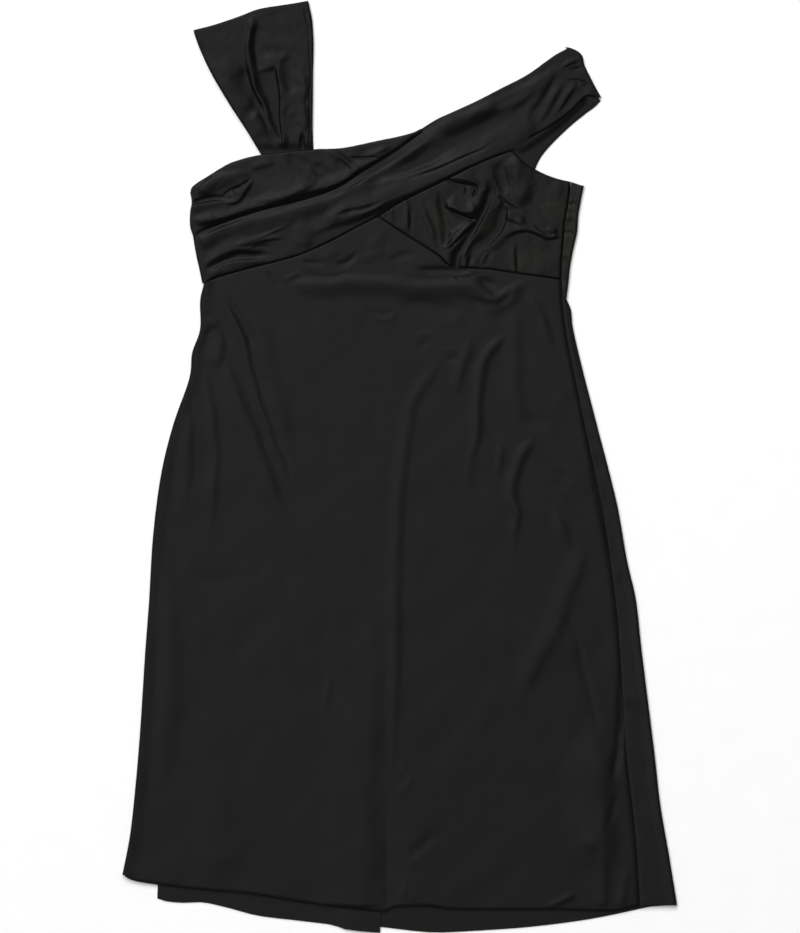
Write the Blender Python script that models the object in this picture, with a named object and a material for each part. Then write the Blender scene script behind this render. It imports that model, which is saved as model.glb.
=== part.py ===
"""Asymmetric A-line dress in satin, laid flat on its back.

The dress lies face up. X runs across it, Y from the hem to the shoulders, and it lies on the plane Z = 0.
Every cut piece is its own wall of cloth. Pieces are drawn on a grid with x to the right and y down the dress,
and one drawing step is GRID long. A piece is a net of points between its four edges. Its height above the
table is a base height plus the folds that cross it. Where a piece turns over at a side or a shoulder, the
wall goes round a small radius and lies flat underneath.
"""

import math
from typing import NamedTuple

import bpy
import numpy as np

# Driving sizes in metres
DRESS_LENGTH = 1.07
CLOTH = 0.0012
SEAM_GAP = 0.0003
MILLIMETRE = 0.001

# Drawing grid
DRAWN_TOP = 1.0
DRAWN_HEM = 931.6
DRAWN_LEFT = 122.3
DRAWN_RIGHT = 677.0
GRID = DRESS_LENGTH / (DRAWN_HEM - DRAWN_TOP)
CENTRE = np.array([(DRAWN_LEFT + DRAWN_RIGHT) / 2, (DRAWN_TOP + DRAWN_HEM) / 2])

# Heights of the top face of each piece above the table, before its folds are added
SKIRT_LIE = 4.6 * MILLIMETRE
SKIRT_EDGE_LIE = 5.6 * MILLIMETRE
BODICE_LIE = 4.4 * MILLIMETRE
DRAPE_LIE = 5.6 * MILLIMETRE
STRAP_LIE = 4.6 * MILLIMETRE
STRAP_BASE_LIE = 2.8 * MILLIMETRE
LOWEST_LIE = 2.8 * MILLIMETRE

# Numbers of net steps
SPLINE_STEPS = 12
FOLD_STEPS = 24
BAND_SKIRT_STEPS = 18
CUP_SKIRT_STEPS = 22
BAND_CUP_STEPS = 18
STRAP_STEPS = 9
SKIRT_ROWS = 24
BACK_PANEL_STEPS = 7
BACK_NECK_STEPS = (3, 4, 3)
STRIP_END_ROWS = 2
STRIP_STEPS = 3
DRAPE_STEPS = 28
DRAPE_ROWS = 14
BAND_ROWS = 12
LEFT_STRAP_STEPS = 12
LEFT_STRAP_ROWS = 13
STRAP_BACK_STEPS = 6
STRAP_BACK_ROWS = 7
ARC_STEPS = 5
UNDER_STEPS = 2

# How far each piece goes on flat beneath the dress after its folded edge, in drawing steps
SKIRT_TURN_TOP = 5.0
SKIRT_TURN_HEM = 33.0
BODICE_TURN = 5.0
STRAP_TURN = 3.0
SHOULDER_GAP = 0.5

# Where a piece dips to pass beneath its neighbour, on the drawing
BAND_TUCK_LEFT = 202.0
BAND_TUCK_RIGHT = 440.0
BAND_TUCK_FADE = 12.0
BAND_TUCK_ROWS = 2.6
STRAP_TUCK_TOP = 132.0
STRAP_TUCK_FADE = 16.0
STRAP_BACK_INSET = 3.0

# The centre back seam's place across the drawing
CENTRE_BACK_TOP = 388.0
CENTRE_BACK_HEM = 382.0

# The strips of back bodice and back skirt that turn over to the front, on the drawing
STRIP_TOP = 299.0
STRIP_END = ((562.4, 289.0), (562.8, 297.8))
STRIP_END_RISE = 1.2 * MILLIMETRE
WAIST_FOLD = (566, 298)
ARMHOLE_FOLD_Y = 190.0

# Vent at the centre back
VENT_ROWS = 5
VENT_UNDERLAP = 0.03

# The share of a fold's length over which it fades out at each end
FOLD_FADE = 0.22

# The ways that the folded edges face
OUT_LEFT = (-1.0, 0.0)
OUT_RIGHT = (1.0, 0.0)
OUT_RIGHT_SHOULDER = (0.9, 0.436)
OUT_LEFT_SHOULDER = (-0.262, -0.965)

SATIN_COLOUR = (0.012, 0.013, 0.013, 1.0)
SATIN_ROUGHNESS = 0.38

# Outlines on the drawing grid, as rows of x and y
LEFT_SIDE_SKIRT = (
    (204, 283), (200, 301), (200, 329), (192, 353), (189, 379), (173, 425), (161, 474), (153, 535),
    (149, 600),
    (145, 653), (139, 744), (131, 827), (122.3, 875),
)
RIGHT_SIDE_SKIRT = (
    (566, 298), (571, 310), (573, 328), (582, 367), (597, 425), (616.6, 502), (627, 560), (636, 600),
    (642, 653),
    (654, 749), (660, 802), (669, 855), (677, 903.6),
)
RIGHT_SKIRT_SEAM = (
    (561.5, 280), (562.5, 303), (567.6, 342), (577, 388), (588.6, 444), (599, 492), (606, 531),
    (616.7, 611),
    (622, 685), (626, 749), (633, 812), (637, 855), (640, 905.5),
)
FRONT_HEM = (
    (122.3, 875), (140, 882), (202, 890), (249, 894), (291, 901), (333, 907), (382, 912), (393, 908),
    (426, 906.5),
    (459, 910), (547, 910), (613, 911), (640, 905.5),
)
BACK_HEM_LEFT = ((157, 898), (182, 901.6), (201, 900.6), (242, 911), (290, 919), (343, 927), (380, 931.6))
BACK_HEM_RIGHT = (
    (380, 923), (426, 928), (460, 930.6), (514, 926), (558, 922), (602, 913), (646, 905.4), (675, 904.5),
)
BAND_SKIRT_SEAM = (
    (204, 283), (220, 277), (250, 268.5), (276, 262), (300, 255), (330, 242), (360, 226), (378, 217),
)
BAND_CUP_SEAM = ((378, 217), (400, 203), (430, 188), (450, 178), (470, 168), (493, 158), (513, 151))
CUP_SKIRT_SEAM = (
    (378, 217), (410, 238), (437, 255), (448, 265), (462, 268), (487, 269.5), (512, 273), (561.5, 280),
)
CUP_ARMHOLE = ((513, 151), (526, 164), (535, 171), (548, 177), (561, 182), (571, 185.5))
CUP_SIDE_SEAM = ((571, 185.5), (569, 200), (565, 224), (564, 239), (562, 262), (561.5, 280))
STRIP_OUTER = (
    (582.5, 188), (579, 201), (575.6, 224), (575.6, 234), (572, 247), (569, 265), (567, 284), (566, 298),
)
NECKLINE = (
    (192, 192), (195, 188), (206, 180), (230, 166), (262, 156), (312, 150.5), (344, 150), (380, 142),
    (396, 137.5), (415, 133), (421, 129.6),
)
DRAPE_SIDE = ((192, 192), (195, 203), (191.5, 212), (191.5, 226), (195, 236))
DRAPE_ROLL_EDGE = (
    (195, 236), (214, 226), (260, 211), (300, 201), (335, 189), (362, 172), (390, 155), (406, 143.5),
    (422.6, 131),
)
BAND_SIDE = ((196, 238.5), (198, 247), (200, 258), (202, 270), (204, 283))
BAND_TOP = (
    (196, 238.5), (215, 228), (250, 211), (300, 196.5), (333, 185), (360, 168), (388, 151), (404, 140.5),
    (420, 131), (434, 122), (460, 111), (479, 103), (516, 84), (532, 76), (548, 63), (561, 55), (572, 50.5),
)
RIGHT_STRAP_LOWER = ((513, 151), (532, 137), (556, 123), (572, 112), (586, 96), (599, 97.5))
RIGHT_SHOULDER_FOLD = ((574, 50.5), (583, 58), (585, 67), (591, 81), (601.6, 99))
BACK_NECK_LEFT = ((203, 200), (212, 188), (235, 173), (264, 163))
BACK_NECK_MIDDLE = ((314, 158), (400, 160), (464, 165.5))
BACK_ARMHOLE = ((531, 181), (548, 183), (561, 186), (580, 190))
BACK_WAIST = ((211.4, 283.4), (564, 298))
LEFT_STRAP_FOLD = ((195, 31), (224, 22.5), (259, 11), (290, 4.5), (308, 1))
LEFT_STRAP_LEFT = ((195, 31), (202, 48), (214, 73), (231, 104), (250, 133), (266, 158))
LEFT_STRAP_RIGHT = ((308, 1), (312, 19), (313.5, 44), (313, 73), (312.5, 130), (312, 158))
LEFT_STRAP_BASE = ((266, 158), (290, 158.5), (312, 158))
RIGHT_STRAP_OUTER = ((531, 181), (535, 171), (540, 158), (550, 146), (564, 132), (580, 117), (594, 105.5))
RIGHT_STRAP_INNER = ((464, 165.5), (478, 138), (500, 116), (530, 94), (555, 76), (570, 64))


class Fold(NamedTuple):
    """A ridge or trough in the cloth, drawn along its path.

    The path runs from left to right or from the hem upwards, so `left` is how far the fold spreads on its
    upper or left side and `right` on its lower or right side. `rise` is in millimetres and is negative in a
    trough.
    """

    rise: float
    left: float
    right: float
    path: tuple


SKIRT_FOLDS = (
    Fold(4.2, 15, 9, ((300, 520), (290, 485), (273, 444), (258, 401), (245, 362), (232, 328), (214, 292))),
    Fold(2.2, 10, 10, ((214, 550), (216, 500), (221, 457), (215, 401), (205, 360))),
    Fold(1.6, 9, 9, ((186, 520), (188, 450), (193, 385))),
    Fold(3.6, 9, 30, ((392, 900), (391, 684), (394, 560), (397, 485), (404, 437), (424, 384), (440, 345))),
    Fold(3.0, 10, 12, ((470, 490), (477, 454), (481, 421), (480, 396), (488, 367), (512, 335))),
    Fold(2.6, 9, 11, ((518, 535), (524, 502), (520, 483), (528, 460), (540, 438))),
    Fold(2.4, 16, 14, ((535, 700), (560, 630), (590, 565))),
    Fold(2.2, 12, 12, ((560, 420), (548, 380), (546, 330), (538, 292))),
    Fold(3.6, 8, 9, ((268, 276), (292, 270), (360, 271), (410, 276), (455, 282), (500, 290))),
    Fold(2.0, 10, 12, ((205, 345), (214, 325), (222, 305))),
    Fold(2.2, 12, 12, ((300, 320), (350, 322), (388, 312), (420, 318))),
    Fold(2.4, 12, 12, ((592, 900), (600, 850), (606, 800), (596, 740))),
    Fold(2.0, 7, 9, ((398, 868), (417, 848), (445, 830))),
    Fold(1.6, 30, 30, ((450, 905), (452, 840), (460, 760))),
    Fold(1.6, 30, 30, ((250, 890), (256, 800), (262, 700))),
    Fold(1.4, 26, 26, ((320, 860), (322, 760), (318, 640))),
)
DRAPE_FOLDS = (
    Fold(3.4, 10, 7, ((194, 228), (230, 213), (270, 202), (335, 182), (362, 166), (390, 149), (412, 136))),
    Fold(2.8, 5, 7, ((191, 206), (205, 200), (222, 197), (240, 193))),
    Fold(3.0, 9, 8, ((226, 196), (238, 188), (252, 178), (262, 168))),
    Fold(3.0, 10, 8, ((290, 158), (322, 156), (346, 160), (358, 170))),
    Fold(2.2, 9, 10, ((205, 190), (228, 176), (250, 166), (275, 160))),
    Fold(2.0, 12, 12, ((250, 196), (285, 184), (318, 176))),
)
BAND_FOLDS = (
    Fold(3.2, 5, 11, ((197, 246), (220, 233), (250, 223), (300, 209), (345, 194), (380, 178))),
    Fold(3.4, 6, 9, ((201, 262), (222, 252), (250, 243), (272, 242), (292, 240))),
    Fold(3.0, 6, 8, ((202, 277), (226, 268), (256, 258), (290, 250))),
    Fold(3.6, 14, 9, ((380, 196), (420, 181), (455, 164), (490, 146), (530, 126), (560, 110))),
    Fold(3.0, 9, 10, ((424, 137), (460, 122), (495, 106), (530, 88), (560, 66))),
    Fold(2.2, 6, 6, ((520, 130), (545, 110), (565, 86), (580, 66))),
)
CUP_FOLDS = (
    Fold(4.6, 7, 9, ((452, 262), (463, 247), (474, 226), (484, 206), (490, 190))),
    Fold(4.4, 8, 9, ((458, 266), (470, 250), (486, 232), (498, 214), (508, 200))),
    Fold(4.0, 5, 9, ((446, 190), (462, 192), (478, 196))),
    Fold(3.6, 5, 8, ((444, 222), (458, 224), (472, 228))),
    Fold(3.6, 9, 8, ((516, 208), (514, 186), (511, 160))),
    Fold(3.4, 7, 7, ((500, 238), (515, 230), (530, 228), (545, 236), (558, 237))),
    Fold(2.6, 6, 6, ((514, 270), (516, 256), (514, 244))),
    Fold(3.0, 8, 8, ((412, 234), (414, 218), (416, 204))),
    Fold(2.6, 9, 9, ((438, 244), (436, 222), (430, 202))),
)
LEFT_STRAP_FOLDS = (
    Fold(4.0, 9, 9, ((286, 156), (274, 132), (262, 106), (252, 85), (244, 63), (240, 22))),
    Fold(3.6, 8, 9, ((284, 150), (281, 117), (278, 88), (275, 60), (276, 20))),
    Fold(2.4, 7, 6, ((304, 156), (304, 130), (303, 90), (302, 40))),
    Fold(1.8, 9, 9, ((256, 130), (238, 100), (222, 70), (212, 40))),
)


def along(rows, steps):
    """Returns steps + 1 points at even distances along a smooth curve through the rows."""
    knots = np.array(rows, float)
    before = 2 * knots[0] - knots[1]
    after = 2 * knots[-1] - knots[-2]
    padded = np.vstack([before, knots, after])
    fraction = np.linspace(0.0, 1.0, SPLINE_STEPS, endpoint=False)[:, None]
    spans = []
    for a, b, c, d in zip(padded, padded[1:], padded[2:], padded[3:]):
        cubic = 2 * b + (c - a) * fraction + (2 * a - 5 * b + 4 * c - d) * fraction**2
        spans.append(0.5 * (cubic + (3 * b - a - 3 * c + d) * fraction**3))
    curve = np.vstack(spans + [knots[-1:]])
    travelled = np.concatenate([[0.0], np.cumsum(np.linalg.norm(np.diff(curve, axis=0), axis=1))])
    stations = np.linspace(0.0, travelled[-1], steps + 1)
    return np.column_stack([np.interp(stations, travelled, curve[:, axis]) for axis in (0, 1)])


def net(top, bottom, left, right):
    """Fills four edges with a net of points, one row for each step down the sides."""
    down = np.linspace(0.0, 1.0, len(left))[:, None, None]
    across = np.linspace(0.0, 1.0, len(top))[None, :, None]
    between_sides = left[:, None] * (1 - across) + right[:, None] * across
    between_ends = top[None] * (1 - down) + bottom[None] * down
    corners_top = top[0] * (1 - across) + top[-1] * across
    corners_bottom = bottom[0] * (1 - across) + bottom[-1] * across
    return between_sides + between_ends - corners_top * (1 - down) - corners_bottom * down


def inset(points, sides):
    """Moves the named sides of a net inwards by half a seam gap."""
    moved = points.copy()
    half_gap = SEAM_GAP / 2 / GRID
    for side in sides:
        rim = {"top": points[0], "bottom": points[-1], "left": points[:, 0], "right": points[:, -1]}[side]
        next_in = {"top": points[1], "bottom": points[-2], "left": points[:, 1], "right": points[:, -2]}[side]
        tangent = np.gradient(rim, axis=0)
        normal = np.column_stack([-tangent[:, 1], tangent[:, 0]])
        normal /= np.linalg.norm(normal, axis=1)[:, None]
        inward = np.sign(np.sum(normal * (next_in - rim), axis=1))[:, None]
        target = {"top": moved[0], "bottom": moved[-1], "left": moved[:, 0], "right": moved[:, -1]}[side]
        target += normal * inward * half_gap
    return moved


def ease(value):
    """Goes smoothly from 0 to 1 as the value does."""
    clipped = np.clip(value, 0.0, 1.0)
    return clipped * clipped * (3 - 2 * clipped)


def fold_height(points, fold):
    """Works out one fold's height over a net: a round ridge across its path that fades out at both ends."""
    path = along(fold.path, FOLD_STEPS)
    offset = points[..., None, :] - path
    distance = np.linalg.norm(offset, axis=-1)
    nearest = np.argmin(distance, axis=-1)
    heading = np.gradient(path, axis=0)[nearest]
    from_path = np.take_along_axis(offset, nearest[..., None, None], axis=-2)[..., 0, :]
    on_right = heading[..., 0] * from_path[..., 1] - heading[..., 1] * from_path[..., 0] > 0
    spread = np.where(on_right, fold.right, fold.left)
    share = np.clip(distance.min(axis=-1) / spread, 0.0, 1.0)
    run = nearest / (len(path) - 1)
    fade = ease(run / FOLD_FADE) * ease((1 - run) / FOLD_FADE)
    return fold.rise * MILLIMETRE * fade * (0.5 + 0.5 * np.cos(math.pi * share))


def raised(points, lie, folds):
    """Returns the net's heights: its base with the folds on it, clear of the cloth beneath."""
    height = np.broadcast_to(lie, points.shape[:2]).copy()
    for fold in folds:
        height += fold_height(points, fold)
    return np.maximum(height, LOWEST_LIE)


def placed(points, height):
    """Turns drawing positions and heights into points in metres."""
    flat = (points - CENTRE) * GRID
    return np.dstack([flat[..., 0], -flat[..., 1], height])


def turned_under(edge, outward, rise, under=None):
    """Carries a wall round its folded edge.

    The edge is the outermost line of the fold. From the top face at height `rise` the wall follows a half
    circle down to the table. Where `under` is given, it then lies flat for that length. Both faces are
    returned, one column a step.
    """
    radius = rise / 2
    way = np.array(outward)
    outer = []
    inner = []
    for angle in np.linspace(math.pi / 2, -math.pi / 2, ARC_STEPS + 1)[1:]:
        for reach, face in ((radius, outer), (radius - CLOTH, inner)):
            shift = (reach * math.cos(angle) - radius)[:, None] * way / GRID
            face.append(placed((edge + shift)[:, None], (radius + reach * math.sin(angle))[:, None]))
    for share in () if under is None else np.linspace(0.0, 1.0, UNDER_STEPS + 1)[1:]:
        lying = edge - (radius / GRID + under * share)[:, None] * way
        outer.append(placed(lying[:, None], np.zeros((len(edge), 1))))
        inner.append(placed(lying[:, None], np.full((len(edge), 1), CLOTH)))
    return np.concatenate(outer, axis=1), np.concatenate(inner, axis=1)


def lowered(outer):
    """Returns the lower face of a wall whose upper face is given."""
    return outer - np.array([0.0, 0.0, CLOTH])


def satin():
    """Makes the dress's black satin."""
    material = bpy.data.materials.new("black_satin")
    material.use_nodes = True
    shader = material.node_tree.nodes["Principled BSDF"]
    shader.inputs["Base Color"].default_value = SATIN_COLOUR
    shader.inputs["Roughness"].default_value = SATIN_ROUGHNESS
    shader.inputs["Metallic"].default_value = 0.0
    return material


def wall(name, outer, inner, collection):
    """Joins the outer and inner nets of a wall of cloth by its rim, as one closed solid."""
    count = outer.shape[0] * outer.shape[1]
    points = np.concatenate([outer.reshape(-1, 3), inner.reshape(-1, 3)])
    index = np.arange(count).reshape(outer.shape[:2])
    a, b, c, d = index[:-1, :-1], index[1:, :-1], index[1:, 1:], index[:-1, 1:]
    sheet = np.concatenate([np.dstack([a, b, c]).reshape(-1, 3), np.dstack([a, c, d]).reshape(-1, 3)])
    rim = np.concatenate([index[:-1, 0], index[-1, :-1], index[:0:-1, -1], index[0, :0:-1]])
    ahead = np.roll(rim, -1)
    sides = np.concatenate(
        [np.column_stack([ahead, rim, rim + count]), np.column_stack([ahead, rim + count, ahead + count])]
    )
    faces = np.concatenate([sheet, sheet[:, ::-1] + count, sides])
    first, second, third = points[faces[:, 0]], points[faces[:, 1]], points[faces[:, 2]]
    if np.sum(first * np.cross(second, third)) < 0:
        faces = faces[:, ::-1]
    mesh = bpy.data.meshes.new(name)
    mesh.from_pydata(points.tolist(), [], faces.tolist())
    mesh.shade_smooth()
    mesh.set_sharp_from_angle(angle=math.radians(50))
    piece = bpy.data.objects.new(name, mesh)
    piece.data.materials.append(satin_material)
    collection.objects.link(piece)
    return piece


def edge_blend(count, steps, sides):
    """Weighs the rows or columns of a net: 1 at the named ends, easing to 0 over some steps."""
    place = np.arange(count)
    weight = np.zeros(count)
    if "start" in sides:
        weight = np.maximum(weight, 1 - ease(place / steps))
    if "end" in sides:
        weight = np.maximum(weight, 1 - ease((count - 1 - place) / steps))
    return weight


def skirt_front(collection):
    """Builds the front skirt panel, whose left side turns under to the side seam beneath."""
    top = np.vstack([along(BAND_SKIRT_SEAM, BAND_SKIRT_STEPS)[:-1], along(CUP_SKIRT_SEAM, CUP_SKIRT_STEPS)])
    side = along(LEFT_SIDE_SKIRT, SKIRT_ROWS)
    seam = along(RIGHT_SKIRT_SEAM, SKIRT_ROWS)
    hem = along(FRONT_HEM, len(top) - 1)
    rise = np.full(SKIRT_ROWS + 1, SKIRT_EDGE_LIE)
    fold_line = side - SKIRT_EDGE_LIE / 2 / GRID * np.array(OUT_LEFT)
    top[0] = fold_line[0]
    hem[0] = fold_line[-1]
    points = inset(net(top, hem, fold_line, seam), ("top", "right"))
    lie = SKIRT_LIE + (SKIRT_EDGE_LIE - SKIRT_LIE) * edge_blend(len(top), 4, ("start",))[None, :]
    height = raised(points, lie, SKIRT_FOLDS)
    still = ease(np.arange(len(top)) / 3)
    height = rise[:, None] * (1 - still) + height * still
    outer = placed(points, height)
    under = np.linspace(SKIRT_TURN_TOP, SKIRT_TURN_HEM, SKIRT_ROWS + 1)
    edge = points[:, 0] + SKIRT_EDGE_LIE / 2 / GRID * np.array(OUT_LEFT)
    turn_outer, turn_inner = turned_under(edge, OUT_LEFT, rise, under)
    return wall(
        "skirt_front",
        np.concatenate([turn_outer[:, ::-1], outer], axis=1),
        np.concatenate([turn_inner[:, ::-1], lowered(outer)], axis=1),
        collection,
    )


def skirt_back_seams():
    """Returns the lines down the back skirt: the left seam, the centre seam and the right fold."""
    side = along(LEFT_SIDE_SKIRT, SKIRT_ROWS)
    reach = SKIRT_EDGE_LIE / 2 / GRID + np.linspace(SKIRT_TURN_TOP, SKIRT_TURN_HEM, SKIRT_ROWS + 1)
    left = side + np.column_stack([reach, np.zeros(SKIRT_ROWS + 1)])
    right = along(RIGHT_SIDE_SKIRT, SKIRT_ROWS)
    across = np.linspace(CENTRE_BACK_TOP, CENTRE_BACK_HEM, SKIRT_ROWS + 1)
    centre = np.column_stack([across, (left[:, 1] + right[:, 1]) / 2])
    left[0] = BACK_WAIST[0]
    centre[0, 1] = np.interp(centre[0, 0], *np.transpose(BACK_WAIST))
    right[0] = WAIST_FOLD
    return left, centre, right


def skirt_back_left(collection):
    """Builds the left back skirt panel, which lies on the table and laps over the vent."""
    left, centre, _ = skirt_back_seams()
    hem = along(BACK_HEM_LEFT, BACK_PANEL_STEPS)
    left[-1] = hem[0]
    centre[-1] = hem[-1]
    top = np.linspace(left[0], centre[0], BACK_PANEL_STEPS + 1)
    points = inset(net(top, hem, left, centre), ("top", "left", "right"))
    height = np.full(points.shape[:2], CLOTH)
    height[-VENT_ROWS - 2 :, -2:] += CLOTH + SEAM_GAP
    outer = placed(points, height)
    return wall("skirt_back_left", outer, lowered(outer), collection)


def skirt_back_right(collection):
    """Builds the right back skirt panel, which turns over the right side to the front's seam."""
    _, centre, right = skirt_back_seams()
    rise = np.full(SKIRT_ROWS + 1, SKIRT_EDGE_LIE)
    fold_line = right - SKIRT_EDGE_LIE / 2 / GRID * np.array(OUT_RIGHT)
    hem = along(BACK_HEM_RIGHT, BACK_PANEL_STEPS)
    centre[-1] = hem[0]
    fold_line[-1, 1] = hem[-1, 1]
    hem[-1] = fold_line[-1]
    top = np.linspace(centre[0], fold_line[0], BACK_PANEL_STEPS + 1)
    lying = inset(net(top, hem, centre, fold_line), ("top", "left"))
    lying[-VENT_ROWS - 1 :, 0, 0] -= VENT_UNDERLAP / GRID
    seam = along(RIGHT_SKIRT_SEAM, SKIRT_ROWS)
    seam[0] = (np.interp(STRIP_TOP, seam[:2, 1], seam[:2, 0]), STRIP_TOP)
    strip = inset(np.linspace(seam, lying[:, -1], STRIP_STEPS + 1, axis=1), ("left", "top"))
    strip_height = SKIRT_LIE + (SKIRT_EDGE_LIE - SKIRT_LIE) * ease(np.linspace(0.0, 1.0, STRIP_STEPS + 1))
    strip_outer = placed(strip, np.broadcast_to(strip_height, strip.shape[:2]))
    edge = lying[:, -1] + SKIRT_EDGE_LIE / 2 / GRID * np.array(OUT_RIGHT)
    turn_outer, turn_inner = turned_under(edge, OUT_RIGHT, rise)
    flat_outer = placed(lying, np.zeros(lying.shape[:2]))[:, -2::-1]
    flat_inner = placed(lying, np.full(lying.shape[:2], CLOTH))[:, -2::-1]
    return wall(
        "skirt_back_right",
        np.concatenate([strip_outer, turn_outer, flat_outer], axis=1),
        np.concatenate([lowered(strip_outer), turn_inner, flat_inner], axis=1),
        collection,
    )


def bodice_back(collection):
    """Builds the back bodice, which turns over the right side as a strip up to the cup's seam."""
    rows = BAND_CUP_STEPS + STRIP_END_ROWS
    lie = SKIRT_EDGE_LIE
    seam = np.vstack([along(CUP_SIDE_SEAM, BAND_CUP_STEPS), STRIP_END])
    outer_edge = along(STRIP_OUTER, rows)
    fold_line = outer_edge - lie / 2 / GRID * np.array(OUT_RIGHT)
    curves = (BACK_NECK_LEFT, BACK_NECK_MIDDLE, BACK_ARMHOLE)
    top = np.vstack([along(curve, count) for curve, count in zip(curves, BACK_NECK_STEPS)])
    steps = len(top) - 1
    bottom = np.linspace(*BACK_WAIST, steps + 1)
    left = np.linspace(top[0], bottom[0], rows + 1)
    fold_line[0, 1] = ARMHOLE_FOLD_Y
    top[-1] = fold_line[0]
    bottom[-1] = fold_line[-1]
    lying = inset(net(top, bottom, left, fold_line), ("top", "bottom", "left"))
    strip = inset(np.linspace(seam, lying[:, -1], STRIP_STEPS + 1, axis=1), ("left", "bottom"))
    strip_height = np.full(strip.shape[:2], BODICE_LIE)
    strip_height[:, -1] = lie
    strip_height[-STRIP_END_ROWS - 2 : -1, :-1] += STRIP_END_RISE
    strip_outer = placed(strip, strip_height)
    edge = lying[:, -1] + lie / 2 / GRID * np.array(OUT_RIGHT)
    turn_outer, turn_inner = turned_under(edge, OUT_RIGHT, np.full(rows + 1, lie))
    flat_outer = placed(lying, np.zeros(lying.shape[:2]))[:, -2::-1]
    flat_inner = placed(lying, np.full(lying.shape[:2], CLOTH))[:, -2::-1]
    return wall(
        "bodice_back",
        np.concatenate([strip_outer, turn_outer, flat_outer], axis=1),
        np.concatenate([lowered(strip_outer), turn_inner, flat_inner], axis=1),
        collection,
    )


def drape_upper(collection):
    """Builds the upper drape, from the left side to the crossing, with its rolled lower edge."""
    side = along(DRAPE_SIDE, DRAPE_ROWS)
    rise = np.full(DRAPE_ROWS + 1, DRAPE_LIE)
    fold_line = side - DRAPE_LIE / 2 / GRID * np.array(OUT_LEFT)
    top = along(NECKLINE, DRAPE_STEPS)
    bottom = along(DRAPE_ROLL_EDGE, DRAPE_STEPS)
    top[0] = fold_line[0]
    bottom[0] = fold_line[-1]
    right = np.linspace(top[-1], bottom[-1], DRAPE_ROWS + 1)
    points = net(top, bottom, fold_line, right)
    height = raised(points, DRAPE_LIE, DRAPE_FOLDS)
    still = ease(np.arange(DRAPE_STEPS + 1) / 2)
    height = rise[:, None] * (1 - still) + height * still
    outer = placed(points, height)
    turn_outer, turn_inner = turned_under(side, OUT_LEFT, rise, np.full(DRAPE_ROWS + 1, BODICE_TURN))
    return wall(
        "drape_upper",
        np.concatenate([turn_outer[:, ::-1], outer], axis=1),
        np.concatenate([turn_inner[:, ::-1], lowered(outer)], axis=1),
        collection,
    )


def drape_band(collection):
    """Builds the lower drape, which crosses the front and carries on as the right strap."""
    lie = BODICE_LIE
    bottom = np.vstack(
        [
            along(BAND_SKIRT_SEAM, BAND_SKIRT_STEPS)[:-1],
            along(BAND_CUP_SEAM, BAND_CUP_STEPS)[:-1],
            along(RIGHT_STRAP_LOWER, STRAP_STEPS),
        ]
    )
    steps = len(bottom) - 1
    side = along(BAND_SIDE, BAND_ROWS)
    shoulder = along(RIGHT_SHOULDER_FOLD, BAND_ROWS)
    rise = np.full(BAND_ROWS + 1, lie)
    fold_line = side - lie / 2 / GRID * np.array(OUT_LEFT)
    shoulder_line = shoulder - lie / 2 / GRID * np.array(OUT_RIGHT_SHOULDER)
    top = along(BAND_TOP, steps)
    top[0] = fold_line[0]
    bottom[0] = fold_line[-1]
    top[-1] = shoulder_line[0]
    bottom[-1] = shoulder_line[-1]
    points = inset(net(top, bottom, fold_line, shoulder_line), ("bottom",))
    height = raised(points, lie, BAND_FOLDS)
    still = ease(np.arange(steps + 1) / 2) * ease((steps - np.arange(steps + 1)) / 2)
    height = rise[:, None] * (1 - still) + height * still
    across = points[..., 0]
    beneath_drape = ease((BAND_TUCK_RIGHT - across) / BAND_TUCK_FADE)
    beneath_drape *= ease((across - BAND_TUCK_LEFT) / BAND_TUCK_FADE)
    tucked = edge_blend(BAND_ROWS + 1, BAND_TUCK_ROWS, ("start",))[:, None] * beneath_drape
    height = height * (1 - tucked) + LOWEST_LIE * tucked
    outer = placed(points, height)
    left_edge = points[:, 0] + lie / 2 / GRID * np.array(OUT_LEFT)
    left_under = np.full(BAND_ROWS + 1, BODICE_TURN)
    left_outer, left_inner = turned_under(left_edge, OUT_LEFT, rise, left_under)
    right_under = np.full(BAND_ROWS + 1, STRAP_TURN)
    right_outer, right_inner = turned_under(shoulder, OUT_RIGHT_SHOULDER, rise, right_under)
    return wall(
        "drape_band",
        np.concatenate([left_outer[:, ::-1], outer, right_outer], axis=1),
        np.concatenate([left_inner[:, ::-1], lowered(outer), right_inner], axis=1),
        collection,
    )


def cup(collection):
    """Builds the gathered right front, between the band, the armhole, the side and the skirt."""
    band_edge = along(BAND_CUP_SEAM, BAND_CUP_STEPS)
    side_edge = along(CUP_SIDE_SEAM, BAND_CUP_STEPS)[::-1]
    skirt_edge = along(CUP_SKIRT_SEAM, CUP_SKIRT_STEPS)
    armhole = along(CUP_ARMHOLE, CUP_SKIRT_STEPS)
    points = inset(net(band_edge, side_edge, skirt_edge, armhole), ("top", "bottom", "left"))
    height = raised(points, BODICE_LIE, CUP_FOLDS)
    outer = placed(points, height)
    return wall("cup", outer, lowered(outer), collection)


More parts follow.
